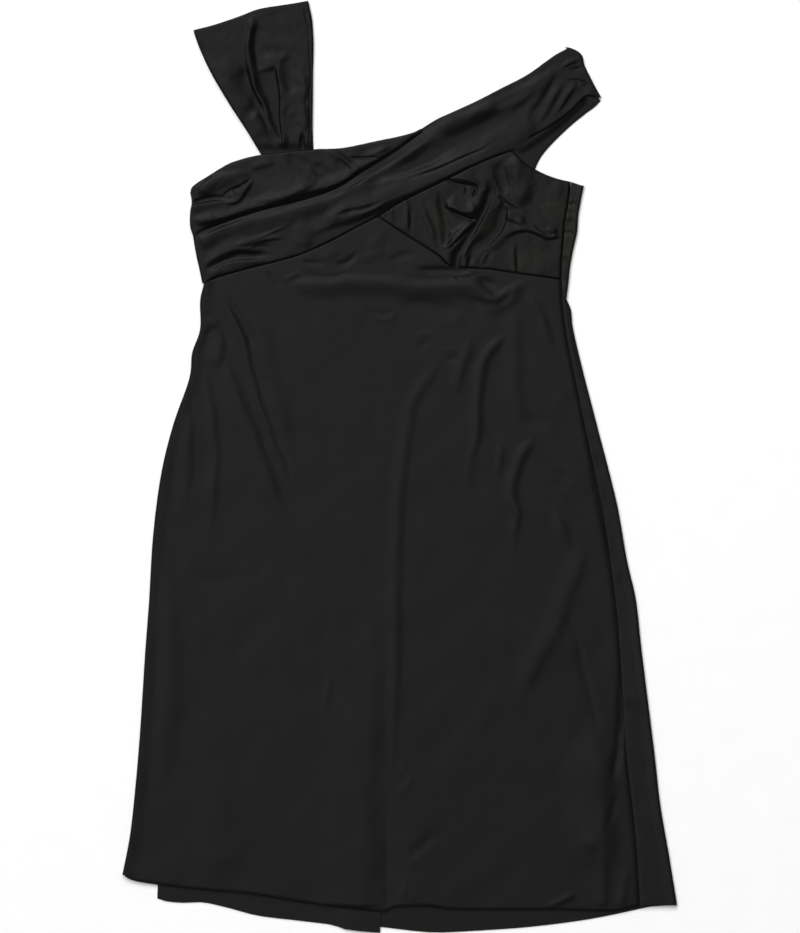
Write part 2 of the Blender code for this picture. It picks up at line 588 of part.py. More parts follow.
def strap_left_front(collection):
    """Builds the front of the left strap, a pleated fan that narrows to the neckline."""
    rows = LEFT_STRAP_ROWS
    steps = LEFT_STRAP_STEPS
    shoulder = along(LEFT_STRAP_FOLD, steps)
    fold_line = shoulder - STRAP_LIE / 2 / GRID * np.array(OUT_LEFT_SHOULDER)
    base = along(LEFT_STRAP_BASE, steps)
    left = along(LEFT_STRAP_LEFT, rows)
    right = along(LEFT_STRAP_RIGHT, rows)
    left[0] = fold_line[0]
    right[0] = fold_line[-1]
    points = net(fold_line, base, left, right)
    height = raised(points, STRAP_LIE, LEFT_STRAP_FOLDS)
    still = ease(np.arange(rows + 1) / 2)[:, None]
    height = STRAP_LIE * (1 - still) + height * still
    tucked = ease((points[..., 1] - STRAP_TUCK_TOP) / STRAP_TUCK_FADE)
    height = height * (1 - tucked) + STRAP_BASE_LIE * tucked
    outer = placed(points, height)
    turn_outer, turn_inner = turned_under(
        shoulder, OUT_LEFT_SHOULDER, np.full(steps + 1, STRAP_LIE), np.full(steps + 1, STRAP_TURN)
    )
    return wall(
        "strap_left_front",
        np.concatenate([turn_outer.transpose(1, 0, 2)[::-1], outer], axis=0),
        np.concatenate([turn_inner.transpose(1, 0, 2)[::-1], lowered(outer)], axis=0),
        collection,
    )


def strap_left_back(collection):
    """Builds the back of the left strap, flat on the table beneath its front."""
    rows = STRAP_BACK_ROWS
    steps = STRAP_BACK_STEPS
    reach = STRAP_LIE / 2 / GRID + STRAP_TURN + SHOULDER_GAP
    top = along(LEFT_STRAP_FOLD, steps) - reach * np.array(OUT_LEFT_SHOULDER)
    bottom = np.linspace(BACK_NECK_LEFT[-1], BACK_NECK_MIDDLE[0], steps + 3)[2:]
    left = np.linspace(top[0] + (STRAP_BACK_INSET, 0.0), bottom[0], rows + 1)
    right = np.linspace(top[-1] - (STRAP_BACK_INSET, 0.0), bottom[-1], rows + 1)
    top[0] = left[0]
    top[-1] = right[0]
    points = inset(net(top, bottom, left, right), ("top", "bottom"))
    outer = placed(points, np.full(points.shape[:2], CLOTH))
    return wall("strap_left_back", outer, lowered(outer), collection)


def strap_right_back(collection):
    """Builds the back of the right strap, which shows below the front of the strap."""
    inner_edge = along(RIGHT_STRAP_INNER, STRAP_BACK_ROWS)[::-1]
    outer_edge = along(RIGHT_STRAP_OUTER, STRAP_BACK_ROWS)[::-1]
    top = np.linspace(inner_edge[0], outer_edge[0], STRAP_BACK_STEPS + 1)
    bottom = np.linspace(inner_edge[-1], outer_edge[-1], STRAP_BACK_STEPS + 1)
    points = inset(net(top, bottom, inner_edge, outer_edge), ("top", "bottom"))
    outer = placed(points, np.full(points.shape[:2], CLOTH))
    return wall("strap_right_back", outer, lowered(outer), collection)


for item in list(bpy.data.objects):
    bpy.data.objects.remove(item)
dress = bpy.data.collections.new("asymmetric_dress")
bpy.context.scene.collection.children.link(dress)
satin_material = satin()
skirt_front(dress)
skirt_back_left(dress)
skirt_back_right(dress)
bodice_back(dress)
drape_upper(dress)
drape_band(dress)
cup(dress)
strap_left_front(dress)
strap_left_back(dress)
strap_right_back(dress)
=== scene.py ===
"""Looks of the asymmetric A-line dress: black satin laid flat, face up, seen from straight above.

The dress keeps the frame of its solids: X across it, Y from the hem to the shoulders, Z up out of its front, in
metres. Its outlines are drawn on a grid with x to the right and y down the dress. A panel is a net of points
between four drawn edges, and its height is a base height plus the folds, seams and rumples that cross it.
"""

import logging
import math
from dataclasses import dataclass, field
from enum import Enum
from typing import Any, Sequence

import bpy
import numpy as np
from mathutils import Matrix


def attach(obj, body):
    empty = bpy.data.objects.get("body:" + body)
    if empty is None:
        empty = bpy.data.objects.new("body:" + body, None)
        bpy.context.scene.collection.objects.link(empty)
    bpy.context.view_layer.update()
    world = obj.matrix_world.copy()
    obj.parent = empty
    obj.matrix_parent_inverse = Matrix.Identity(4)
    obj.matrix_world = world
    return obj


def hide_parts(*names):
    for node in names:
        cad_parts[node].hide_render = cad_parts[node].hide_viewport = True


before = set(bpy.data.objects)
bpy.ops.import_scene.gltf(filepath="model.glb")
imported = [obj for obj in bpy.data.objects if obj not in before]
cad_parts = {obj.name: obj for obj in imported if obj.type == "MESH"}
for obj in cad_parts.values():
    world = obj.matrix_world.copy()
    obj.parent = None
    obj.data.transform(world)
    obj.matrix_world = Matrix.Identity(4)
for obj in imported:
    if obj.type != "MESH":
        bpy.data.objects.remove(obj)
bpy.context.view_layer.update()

LOG = logging.getLogger("dress")
MILLIMETRE = 0.001
Points = np.ndarray
Rows = Sequence[tuple[float, float]]


class Side(Enum):
    """The four edges of a net."""

    TOP = "top"
    BOTTOM = "bottom"
    LEFT = "left"
    RIGHT = "right"


class Held(Enum):
    """How a sheet of cloth is held."""

    LAID = "laid"
    GATHERED = "gathered"
    FOLDED = "folded"


@dataclass(frozen=True)
class Drawing:
    """The drawing grid that the outlines are given on, and its place in the frame."""

    length: float = 1.07
    top: float = 1.0
    hem: float = 931.6
    left: float = 122.3
    right: float = 677.0
    width: int = 800
    depth: int = 933

    @property
    def step(self) -> float:
        """Returns one drawing step in metres."""
        return self.length / (self.hem - self.top)

    @property
    def centre(self) -> Points:
        """Returns the drawing position of the frame's origin."""
        return np.array([(self.left + self.right) / 2, (self.top + self.hem) / 2])

    def place(self, points: Points, height: Points) -> Points:
        """Turns drawing positions and heights into points in metres: x and minus y times the step, and z."""
        flat = (points - self.centre) * self.step
        return np.stack([flat[..., 0], -flat[..., 1], np.broadcast_to(height, flat.shape[:-1])], axis=-1)


DRAWING = Drawing()
STEP = DRAWING.step


def ease(value: Points) -> Points:
    """Goes smoothly from 0 to 1 as the value does: 3 t squared minus 2 t cubed."""
    clipped = np.clip(value, 0.0, 1.0)
    return clipped * clipped * (3 - 2 * clipped)


def curve(rows: Rows) -> Points:
    """Draws a smooth curve through rows of points.

    Between two rows the curve is the Catmull-Rom cubic, which passes through both and leaves each along the line
    between its neighbours.

    Args:
        rows: Points on the drawing, in order.

    Returns:
        The curve as closely spaced points.
    """
    knots = np.array(rows, float)
    padded = np.vstack([2 * knots[0] - knots[1], knots, 2 * knots[-1] - knots[-2]])
    fraction = np.linspace(0.0, 1.0, 16, endpoint=False)[None, :, None]
    a, b, c, d = (padded[i : len(padded) - 3 + i, None] for i in range(4))
    cubic = 2 * b + (c - a) * fraction + (2 * a - 5 * b + 4 * c - d) * fraction**2
    spans = 0.5 * (cubic + (3 * b - a - 3 * c + d) * fraction**3)
    return np.vstack([spans.reshape(-1, 2), knots[-1:]])


def along(rows: Rows, stations: Points) -> Points:
    """Returns the points of a smooth curve at the given shares of its length.

    Args:
        rows: Points on the drawing that the curve passes through.
        stations: Shares of the curve's length, from 0 to 1.

    Returns:
        One point for each station.
    """
    drawn = curve(rows)
    travelled = np.concatenate([[0.0], np.cumsum(np.linalg.norm(np.diff(drawn, axis=0), axis=1))])
    wanted = stations * travelled[-1]
    return np.column_stack([np.interp(wanted, travelled, drawn[:, axis]) for axis in (0, 1)])


def even(steps: int) -> Points:
    """Returns stations at even distances."""
    return np.linspace(0.0, 1.0, steps + 1)


def joined(*parts: tuple[Rows, int]) -> Points:
    """Draws several curves one after another, each with its own number of steps, as one edge."""
    pieces = [along(rows, even(steps))[:-1] for rows, steps in parts]
    return np.vstack(pieces + [np.array([parts[-1][0][-1]], float)])


def net(top: Points, bottom: Points, left: Points, right: Points, down: Points | None = None) -> Points:
    """Fills four edges with a net of points.

    It is a Coons patch: the blend between the sides plus the blend between the ends, less the blend of the corners.

    Args:
        top: The first row.
        bottom: The last row, with as many points as the first.
        left: The first column.
        right: The last column, with as many points as the first.
        down: The share of the way down of each row, if it isn't even.

    Returns:
        The points, by row and column.
    """
    v = (even(len(left) - 1) if down is None else down)[:, None, None]
    u = even(len(top) - 1)[None, :, None]
    sides = left[:, None] * (1 - u) + right[:, None] * u
    ends = top[None] * (1 - v) + bottom[None] * v
    corners = (top[0] * (1 - u) + top[-1] * u) * (1 - v) + (bottom[0] * (1 - u) + bottom[-1] * u) * v
    return sides + ends - corners


def inset(points: Points, gap: float, *sides: Side) -> Points:
    """Moves the named sides of a net inwards by half a seam gap.

    Args:
        points: The net.
        gap: The seam gap in metres.
        sides: The sides to move.

    Returns:
        The changed net.
    """
    moved = points.copy()
    ends = {Side.TOP: (0, 1), Side.BOTTOM: (-1, -2)}
    for side in sides:
        if side in ends:
            first, second = ends[side]
            rim, within, target = points[first], points[second], moved[first]
        else:
            first, second = (0, 1) if side is Side.LEFT else (-1, -2)
            rim, within, target = points[:, first], points[:, second], moved[:, first]
        tangent = np.gradient(rim, axis=0)
        normal = np.column_stack([-tangent[:, 1], tangent[:, 0]])
        normal /= np.linalg.norm(normal, axis=1)[:, None]
        inward = np.sign(np.sum(normal * (within - rim), axis=1))[:, None]
        target += normal * inward * gap / 2 / STEP
    return moved


@dataclass(frozen=True)
class Nearest:
    """Where the points of a net lie beside a drawn line: distance, share of its length, and hand."""

    distance: Points
    run: Points
    on_right: Points


def beside(points: Points, line: Points) -> Nearest:
    """Measures points against a drawn line, segment by segment.

    Args:
        points: Points on the drawing, in one list.
        line: The line's points.

    Returns:
        The distance to the nearest segment, the share of the line's length there, and whether the point lies to
        the right of the line's heading.
    """
    start, span = line[:-1], np.diff(line, axis=0)
    offset = points[:, None] - start
    share = np.clip(np.sum(offset * span, axis=-1) / np.maximum(np.sum(span * span, axis=-1), 1e-9), 0.0, 1.0)
    apart = offset - share[..., None] * span
    squared = np.sum(apart * apart, axis=-1)
    nearest = np.argmin(squared, axis=1)
    pick = np.arange(len(points))
    lengths = np.linalg.norm(span, axis=1)
    before = np.concatenate([[0.0], np.cumsum(lengths)[:-1]])
    run = (before[nearest] + share[pick, nearest] * lengths[nearest]) / lengths.sum()
    heading, away = span[nearest], apart[pick, nearest]
    on_right = heading[:, 0] * away[:, 1] - heading[:, 1] * away[:, 0] > 0
    return Nearest(np.sqrt(squared[pick, nearest]), run, on_right)


@dataclass(frozen=True)
class Fold:
    """A ridge or trough in the cloth.

    The path runs from left to right or from the hem upwards. `left` is how far the fold spreads on its upper or
    left side and `right` on its lower or right side, in drawing steps: a small spread is a steep side. `rise` is
    in millimetres, negative in a trough, and `fade` is the share of the path over which each end runs out.
    """

    rise: float
    left: float
    right: float
    path: Rows
    fade: tuple[float, float] = (0.35, 0.35)

    def height(self, points: Points) -> Points:
        """Works out the fold's height over a net.

        It is the rise times a cosine bell across the path. Towards each end the bell gets lower and narrower.

        Args:
            points: The net on the drawing.

        Returns:
            The height of each point in metres.
        """
        line = curve(self.path)[::2]
        reach = max(self.left, self.right)
        low, high = line.min(axis=0) - reach, line.max(axis=0) + reach
        inside = np.all((points > low) & (points < high), axis=-1)
        height = np.zeros(points.shape[:-1])
        if not inside.any():
            return height
        near = beside(points[inside], line)
        start, end = (max(part, 1e-6) for part in self.fade)
        run_out = ease(near.run / start) * ease((1 - near.run) / end)
        spread = np.where(near.on_right, self.right, self.left) * (0.5 + 0.5 * run_out)
        bell = 0.5 + 0.5 * np.cos(math.pi * np.clip(near.distance / spread, 0.0, 1.0))
        height[inside] = self.rise * MILLIMETRE * bell * run_out
        return height


@dataclass(frozen=True)
class Edge:
    """A seam or finished edge, where the cloth dips: `drop` millimetres at the line, nothing `width` away."""

    drop: float
    width: float
    path: Rows

    def height(self, points: Points) -> Points:
        """Returns the dip over a net: the drop times the square of the share of the width that is left."""
        line = curve(self.path)[::2]
        low, high = line.min(axis=0) - self.width, line.max(axis=0) + self.width
        inside = np.all((points > low) & (points < high), axis=-1)
        height = np.zeros(points.shape[:-1])
        if inside.any():
            left_over = np.clip(1 - beside(points[inside], line).distance / self.width, 0.0, 1.0)
            height[inside] = -self.drop * MILLIMETRE * left_over**2
        return height


@dataclass(frozen=True)
class Rumple:
    """Low, uneven waves all over the cloth: `rise` millimetres high and about `size` drawing steps long."""

    rise: float
    size: float
    seed: int
    waves: int = 22

    def height(self, points: Points) -> Points:
        """Returns the waves over a net: a sum of cosines with seeded headings, lengths and starts."""
        dice = np.random.default_rng(self.seed)
        heading = dice.uniform(0, 2 * math.pi, self.waves)
        length = self.size * dice.uniform(0.6, 1.9, self.waves)
        start = dice.uniform(0, 2 * math.pi, self.waves)
        bent = points + 0.25 * self.size * np.sin(points[..., ::-1] / self.size * 1.7)
        total = np.zeros(points.shape[:-1])
        for angle, wave, shift in zip(heading, length, start):
            total += np.cos((bent[..., 0] * math.cos(angle) + bent[..., 1] * math.sin(angle)) * 2 * math.pi / wave + shift)
        return self.rise * MILLIMETRE * total / math.sqrt(self.waves)


Relief = Fold | Edge | Rumple


def raised(points: Points, lie: Points | float, lowest: float, *groups: Sequence[Relief]) -> Points:
    """Works out a net's heights.

    Args:
        points: The net on the drawing.
        lie: Its base height.
        lowest: The height that the cloth beneath it leaves free.
        groups: Folds, edges and rumples that lie on the base height.

    Returns:
        The height of each point, eased towards the lowest so that deep troughs stay round.
    """
    height = np.broadcast_to(np.asarray(lie, float), points.shape[:-1]).copy()
    strayed = points + 0.6 * np.sin(points[..., ::-1] / 7.3 + points / 12.1)
    for group in groups:
        for relief in group:
            height += relief.height(points if isinstance(relief, Edge) else strayed)
    above = height - lowest
    soft = 0.5 * MILLIMETRE
    return lowest + 0.5 * (above + np.sqrt(above * above + soft * soft))


@dataclass(frozen=True)
class Cloth:
    """The satin's thickness and seam gap in metres, and the columns round a folded edge and beneath it."""

    thick: float = 0.8 * MILLIMETRE
    seam_gap: float = 0.3 * MILLIMETRE
    arc: int = 8
    under: int = 3


CLOTH = Cloth()


@dataclass(frozen=True)
class Skins:
    """The outer and the inner face of a wall of cloth, as nets in metres."""

    outer: Points
    inner: Points

    @classmethod
    def of(cls, points: Points, height: Points) -> "Skins":
        """Returns both faces of a wall whose outer face has the given heights."""
        outer = DRAWING.place(points, height)
        return cls(outer, outer - np.array([0.0, 0.0, CLOTH.thick]))

    def turned(self) -> "Skins":
        """Returns the skins with rows and columns changed over."""
        return Skins(self.outer.transpose(1, 0, 2), self.inner.transpose(1, 0, 2))

    def backwards(self) -> "Skins":
        """Returns the skins with their columns in the opposite order."""
        return Skins(self.outer[:, ::-1], self.inner[:, ::-1])

    def then(self, other: "Skins") -> "Skins":
        """Returns the skins with the other's columns after their own."""
        return Skins(np.hstack([self.outer, other.outer]), np.hstack([self.inner, other.inner]))


def turned_under(edge: Points, outward: tuple[float, float], rise: float, under: Points | None = None) -> Skins:
    """Carries a wall round its folded edge.

    From the top face the wall follows a half circle down to the table: its height is r + r sin a and it stands
    r cos a out from the fold line, as a goes from a quarter turn above to a quarter turn below, with r half the
    rise. The inner face has a radius less by the cloth. Where `under` is given, the wall then lies flat.

    Args:
        edge: The outermost line of the fold, on the drawing.
        outward: The way that the fold faces, on the drawing.
        rise: The top face's height.
        under: How far the cloth goes on beneath, in drawing steps, for each point of the edge.

    Returns:
        The faces of the turned part, one column a step.
    """
    radius, way = rise / 2, np.array(outward)
    angle = np.linspace(math.pi / 2, -math.pi / 2, CLOTH.arc + 1)[1:]
    faces = []
    for reach, level in ((radius, 0.0), (radius - CLOTH.thick, CLOTH.thick)):
        shift = (reach * np.cos(angle) - radius)[None, :, None] * way / STEP
        face = DRAWING.place(edge[:, None] + shift, (radius + reach * np.sin(angle))[None, :])
        if under is not None:
            share = np.linspace(0.0, 1.0, CLOTH.under + 1)[1:]
            lying = edge[:, None] - (radius / STEP + under[:, None] * share)[..., None] * way
            face = np.hstack([face, DRAWING.place(lying, np.full(lying.shape[:2], level))])
        faces.append(face)
    return Skins(*faces)


def settled(points: Points, height: Points, rim: Points, level: float, reach: float = 8.0) -> Points:
    """Brings a net's heights smoothly to one level at its rim.

    Args:
        points: The net on the drawing.
        height: Its heights.
        rim: The nearest point of the rim for each point of the net.
        level: The height at the rim.
        reach: How far from the rim the heights are changed, in drawing steps.

    Returns:
        The changed heights.
    """
    free = ease(np.linalg.norm(points - rim, axis=-1) / reach)
    return level * (1 - free) + height * free


def rounded_off(points: Points, height: Points, rim: Points, level: Points | float, reach: float) -> Points:
    """Rolls a free edge over: near the rim the height follows a quarter of an ellipse down to a level.

    Args:
        points: The net on the drawing.
        height: Its heights.
        rim: The nearest point of the rim for each point of the net.
        level: The height at the rim.
        reach: The ellipse's half width, in drawing steps.

    Returns:
        The changed heights.
    """
    share = np.clip(np.linalg.norm(points - rim, axis=-1) / reach, 0.0, 1.0)
    return level + (height - level) * np.sqrt(1 - (1 - share) ** 2)


@dataclass
class Panel:
    """One cut piece of the dress, finished as a closed wall of cloth."""

    name: str
    node: str
    skins: Skins
    cut: tuple[float, float, float]
    rests_on: tuple[str, ...]
    held: Held = Held.LAID
    patches: Sequence[Fold] = ()

    def tint(self) -> Points:
        """Returns how strongly the warm tint shows at each point of both faces, from bells along its patches."""
        flat = self.skins.outer[..., :2] * (1, -1) / STEP + DRAWING.centre
        total = sum((patch.height(flat) for patch in self.patches), np.zeros(flat.shape[:-1]))
        return np.tile(np.clip(total.ravel() / MILLIMETRE, 0.0, 1.0), 2)

    def cloth_map(self) -> Points:
        """Returns each point's place on the cloth: the distance gone along its row and down its column."""
        outer = self.skins.outer
        run = np.linalg.norm(np.diff(outer, axis=1), axis=-1).cumsum(axis=1)
        drop = np.linalg.norm(np.diff(outer, axis=0), axis=-1).cumsum(axis=0)
        across = np.hstack([np.zeros((len(outer), 1)), run])
        down = np.vstack([np.zeros((1, outer.shape[1])), drop])
        return np.tile(np.stack([across, -down], axis=-1).reshape(-1, 2), (2, 1))

    def build(self, finish: bpy.types.Material) -> bpy.types.Object:
        """Makes the wall: the outer net, the inner net with its faces turned over, and a strip round the rim.

        Args:
            finish: The satin to dress it in.

        Returns:
            The piece, riding on the dress in place of its solid.
        """
        shape = self.skins.outer.shape[:2]
        count = shape[0] * shape[1]
        points = np.concatenate([self.skins.outer.reshape(-1, 3), self.skins.inner.reshape(-1, 3)])
        index = np.arange(count).reshape(shape)
        sheet = np.dstack([index[:-1, :-1], index[1:, :-1], index[1:, 1:], index[:-1, 1:]]).reshape(-1, 4)
        rim = np.concatenate([index[:-1, 0], index[-1, :-1], index[:0:-1, -1], index[0, :0:-1]])
        ahead = np.roll(rim, -1)
        band = np.column_stack([ahead, rim, rim + count, ahead + count])
        faces = np.concatenate([sheet, sheet[:, ::-1] + count, band])
        mesh = bpy.data.meshes.new(self.name)
        mesh.from_pydata(points.tolist(), [], faces.tolist())
        cloth = mesh.uv_layers.new(name="cloth")
        cloth.data.foreach_set("uv", self.cloth_map()[faces.ravel()].ravel())
        mesh.attributes.new("tint", "FLOAT", "POINT").data.foreach_set("value", self.tint())
        mesh.shade_smooth()
        mesh.set_sharp_from_angle(angle=math.radians(60))
        mesh.materials.append(finish)
        piece = bpy.data.objects.new(self.name, mesh)
        bpy.context.scene.collection.objects.link(piece)
        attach(piece, "root")
        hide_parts(self.node)
        LOG.info("%s: %d faces for %s", self.name, len(faces), self.node)
        return piece


class Graph:
    """The nodes of one material."""

    def __init__(self, name: str) -> None:
        """Starts a material with only its output and its shader."""
        self.material = bpy.data.materials.new(name)
        self.material.use_nodes = True
        self.tree = self.material.node_tree
        self.shader = self.tree.nodes["Principled BSDF"]

    def node(self, kind: str, settings: dict[str, Any], inputs: dict[str | int, Any]) -> bpy.types.Node:
        """Adds a node.

        Args:
            kind: The node's type.
            settings: Its settings, which are set first.
            inputs: Values or links of its sockets.

        Returns:
            The node.
        """
        node = self.tree.nodes.new(kind)
        for key, value in settings.items():
            setattr(node, key, value)
        for key, value in inputs.items():
            self.feed(node.inputs[key], value)
        return node

    def feed(self, socket: bpy.types.NodeSocket, value: Any) -> None:
        """Links a socket to another socket or number, or sets its value."""
        source = value.socket if isinstance(value, Number) else value
        if isinstance(source, bpy.types.NodeSocket):
            self.tree.links.new(source, socket)
        else:
            socket.default_value = source

    def number(self, socket: bpy.types.NodeSocket) -> "Number":
        """Wraps a socket for use in expressions."""
        return Number(self, socket)

    def noise(self, place: bpy.types.NodeSocket, scale: float, detail: float = 2.0) -> "Number":
        """Returns smooth noise from 0 to 1 over a place."""
        inputs = {"Vector": place, "Scale": scale, "Detail": detail, "Roughness": 0.5}
        return self.number(self.node("ShaderNodeTexNoise", {}, inputs).outputs["Fac"])

    def mixed(self, share: "Number", first: Any, second: Any) -> bpy.types.NodeSocket:
        """Returns a colour that goes from the first to the second as the share goes from 0 to 1."""
        settings = {"data_type": "RGBA"}
        return self.node("ShaderNodeMix", settings, {0: share, 6: first, 7: second}).outputs[2]

    def stretched(self, place: bpy.types.NodeSocket, scale: tuple[float, float, float]) -> bpy.types.NodeSocket:
        """Returns a place multiplied by a scale on each axis."""
        settings = {"vector_type": "POINT"}
        return self.node("ShaderNodeMapping", settings, {"Vector": place, "Scale": scale}).outputs[0]


class Number:
    """A number socket; arithmetic on it adds Math nodes."""

    def __init__(self, graph: Graph, socket: bpy.types.NodeSocket) -> None:
        """Keeps the socket and the graph that it belongs to."""
        self.graph = graph
        self.socket = socket

    def math(self, operation: str, first: Any, second: Any = 0.0) -> "Number":
        """Returns the result of a Math node on one or two numbers."""
        node = self.graph.node("ShaderNodeMath", {"operation": operation}, {0: first, 1: second})
        return Number(self.graph, node.outputs[0])

    def __add__(self, other: Any) -> "Number":
        """Returns this number plus another."""
        return self.math("ADD", self, other)

    def __radd__(self, other: Any) -> "Number":
        """Returns another number plus this one."""
        return self.math("ADD", other, self)

    def __sub__(self, other: Any) -> "Number":
        """Returns this number less another."""
        return self.math("SUBTRACT", self, other)

    def __rsub__(self, other: Any) -> "Number":
        """Returns another number less this one."""
        return self.math("SUBTRACT", other, self)

    def __mul__(self, other: Any) -> "Number":
        """Returns this number times another."""
        return self.math("MULTIPLY", self, other)

    def __rmul__(self, other: Any) -> "Number":
        """Returns another number times this one."""
        return self.math("MULTIPLY", other, self)

    def sine(self) -> "Number":
        """Returns the sine of this number."""
        return self.math("SINE", self)


@dataclass(frozen=True)
class Satin:
    """Black satin: a dark, close weave whose lustre varies a little over the cloth.

    `thread` is the distance between threads in metres. `tint` is the warm colour that its patches take.
    """

    name: str
    colour: tuple[float, float, float]
    tint: tuple[float, float, float] = (0.0056, 0.0054, 0.0034)
    roughness: float = 0.42
    uneven: float = 0.10
    thread: float = 0.00045
    bump: float = 0.35
    specular: float = 0.5

    def build(self) -> bpy.types.Material:
        """Makes the material.

        Its colour is the base colour, darkened and lightened by a tenth by soft blotches and turned to the tint
        where the piece's own map says so. Its weave is the product of a sine across and a sine along the cloth,
        with streaks drawn out along the thread.

        Returns:
            The material.
        """
        graph = Graph(self.name)
        place = graph.node("ShaderNodeTexCoord", {}, {}).outputs["Object"]
        cloth = graph.node("ShaderNodeUVMap", {"uv_map": "cloth"}, {}).outputs["UV"]
        axes = graph.node("ShaderNodeSeparateXYZ", {}, {"Vector": cloth}).outputs
        turn = 2 * math.pi / self.thread
        across, down = graph.number(axes["X"]), graph.number(axes["Y"])
        weave = ((across + down * 0.5) * turn).sine() * (down * turn).sine()
        streak = graph.noise(graph.stretched(cloth, (1500.0, 60.0, 1.0)), 1.0)
        blotch = graph.noise(place, 11.0)
        grain = graph.noise(place, 260.0)
        patch = graph.node("ShaderNodeAttribute", {"attribute_name": "tint"}, {}).outputs["Fac"]
        dark = tuple(part * 0.88 for part in self.colour) + (1.0,)
        light = tuple(part * 1.12 for part in self.colour) + (1.0,)
        plain = graph.mixed(blotch * 0.7 + streak * 0.3, dark, light)
        shader = graph.shader.inputs
        graph.feed(shader["Base Color"], graph.mixed(graph.number(patch), plain, self.tint + (1.0,)))
        graph.feed(shader["Roughness"], self.roughness + (blotch * 0.6 + streak * 0.4 - 0.5) * self.uneven)
        relief = {"Strength": self.bump, "Distance": 0.00012, "Height": weave * 0.25 + streak * 0.5 + grain * 0.6}
        graph.feed(shader["Normal"], graph.node("ShaderNodeBump", {}, relief).outputs["Normal"])
        shader["Specular IOR Level"].default_value = self.specular
        shader["Metallic"].default_value = 0.0
        return graph.material


@dataclass(frozen=True)
class Lines:
    """Lines on the drawing that neighbouring pieces share."""

    band_skirt: Rows = (
        (204, 283), (220, 277), (250, 268.5), (276, 262), (300, 255), (330, 242), (360, 226), (378, 217),
    )
    band_cup: Rows = ((378, 217), (400, 203), (430, 188), (450, 178), (470, 168), (493, 158), (513, 151))
    cup_skirt: Rows = (
        (378, 217), (410, 238), (437, 255), (448, 265), (462, 268), (487, 269.5), (512, 273), (561.5, 280),
    )
    cup_side: Rows = ((571, 181.8), (569, 200), (565, 224), (564, 239), (562, 262), (561.5, 280))
    skirt_seam: Rows = (
        (561.5, 280), (562.5, 303), (567.6, 342), (577, 388), (588.6, 444), (599, 492), (606, 531),
        (616.7, 611), (622, 685), (626, 749), (633, 812), (637, 855), (640, 905.5),
    )
    skirt_left: Rows = (
        (204, 283), (200, 301), (200, 329), (192, 353), (189, 379), (173, 425), (161, 474), (153, 535),
        (149, 600), (145, 653), (139, 744), (131, 827), (122.3, 875),
    )
    skirt_right: Rows = (
        (566, 298), (571, 310), (573, 328), (582, 367), (597, 425), (616.6, 502), (627, 560), (636, 600),
        (642, 653), (654, 749), (660, 802), (669, 855), (677, 903.6),
    )
    back_waist: Rows = ((211.4, 283.4), (564, 298))


LINES = Lines()
ROLLED_SEAMS = tuple(Edge(1.3, 3.0, line) for line in (LINES.band_skirt, LINES.band_cup, LINES.cup_skirt, LINES.cup_side))
FLAT_SEAMS = tuple(Edge(0.35, 1.8, line) for line in (LINES.band_skirt, LINES.band_cup, LINES.cup_skirt, LINES.cup_side))
LOWEST = 2.8 * MILLIMETRE


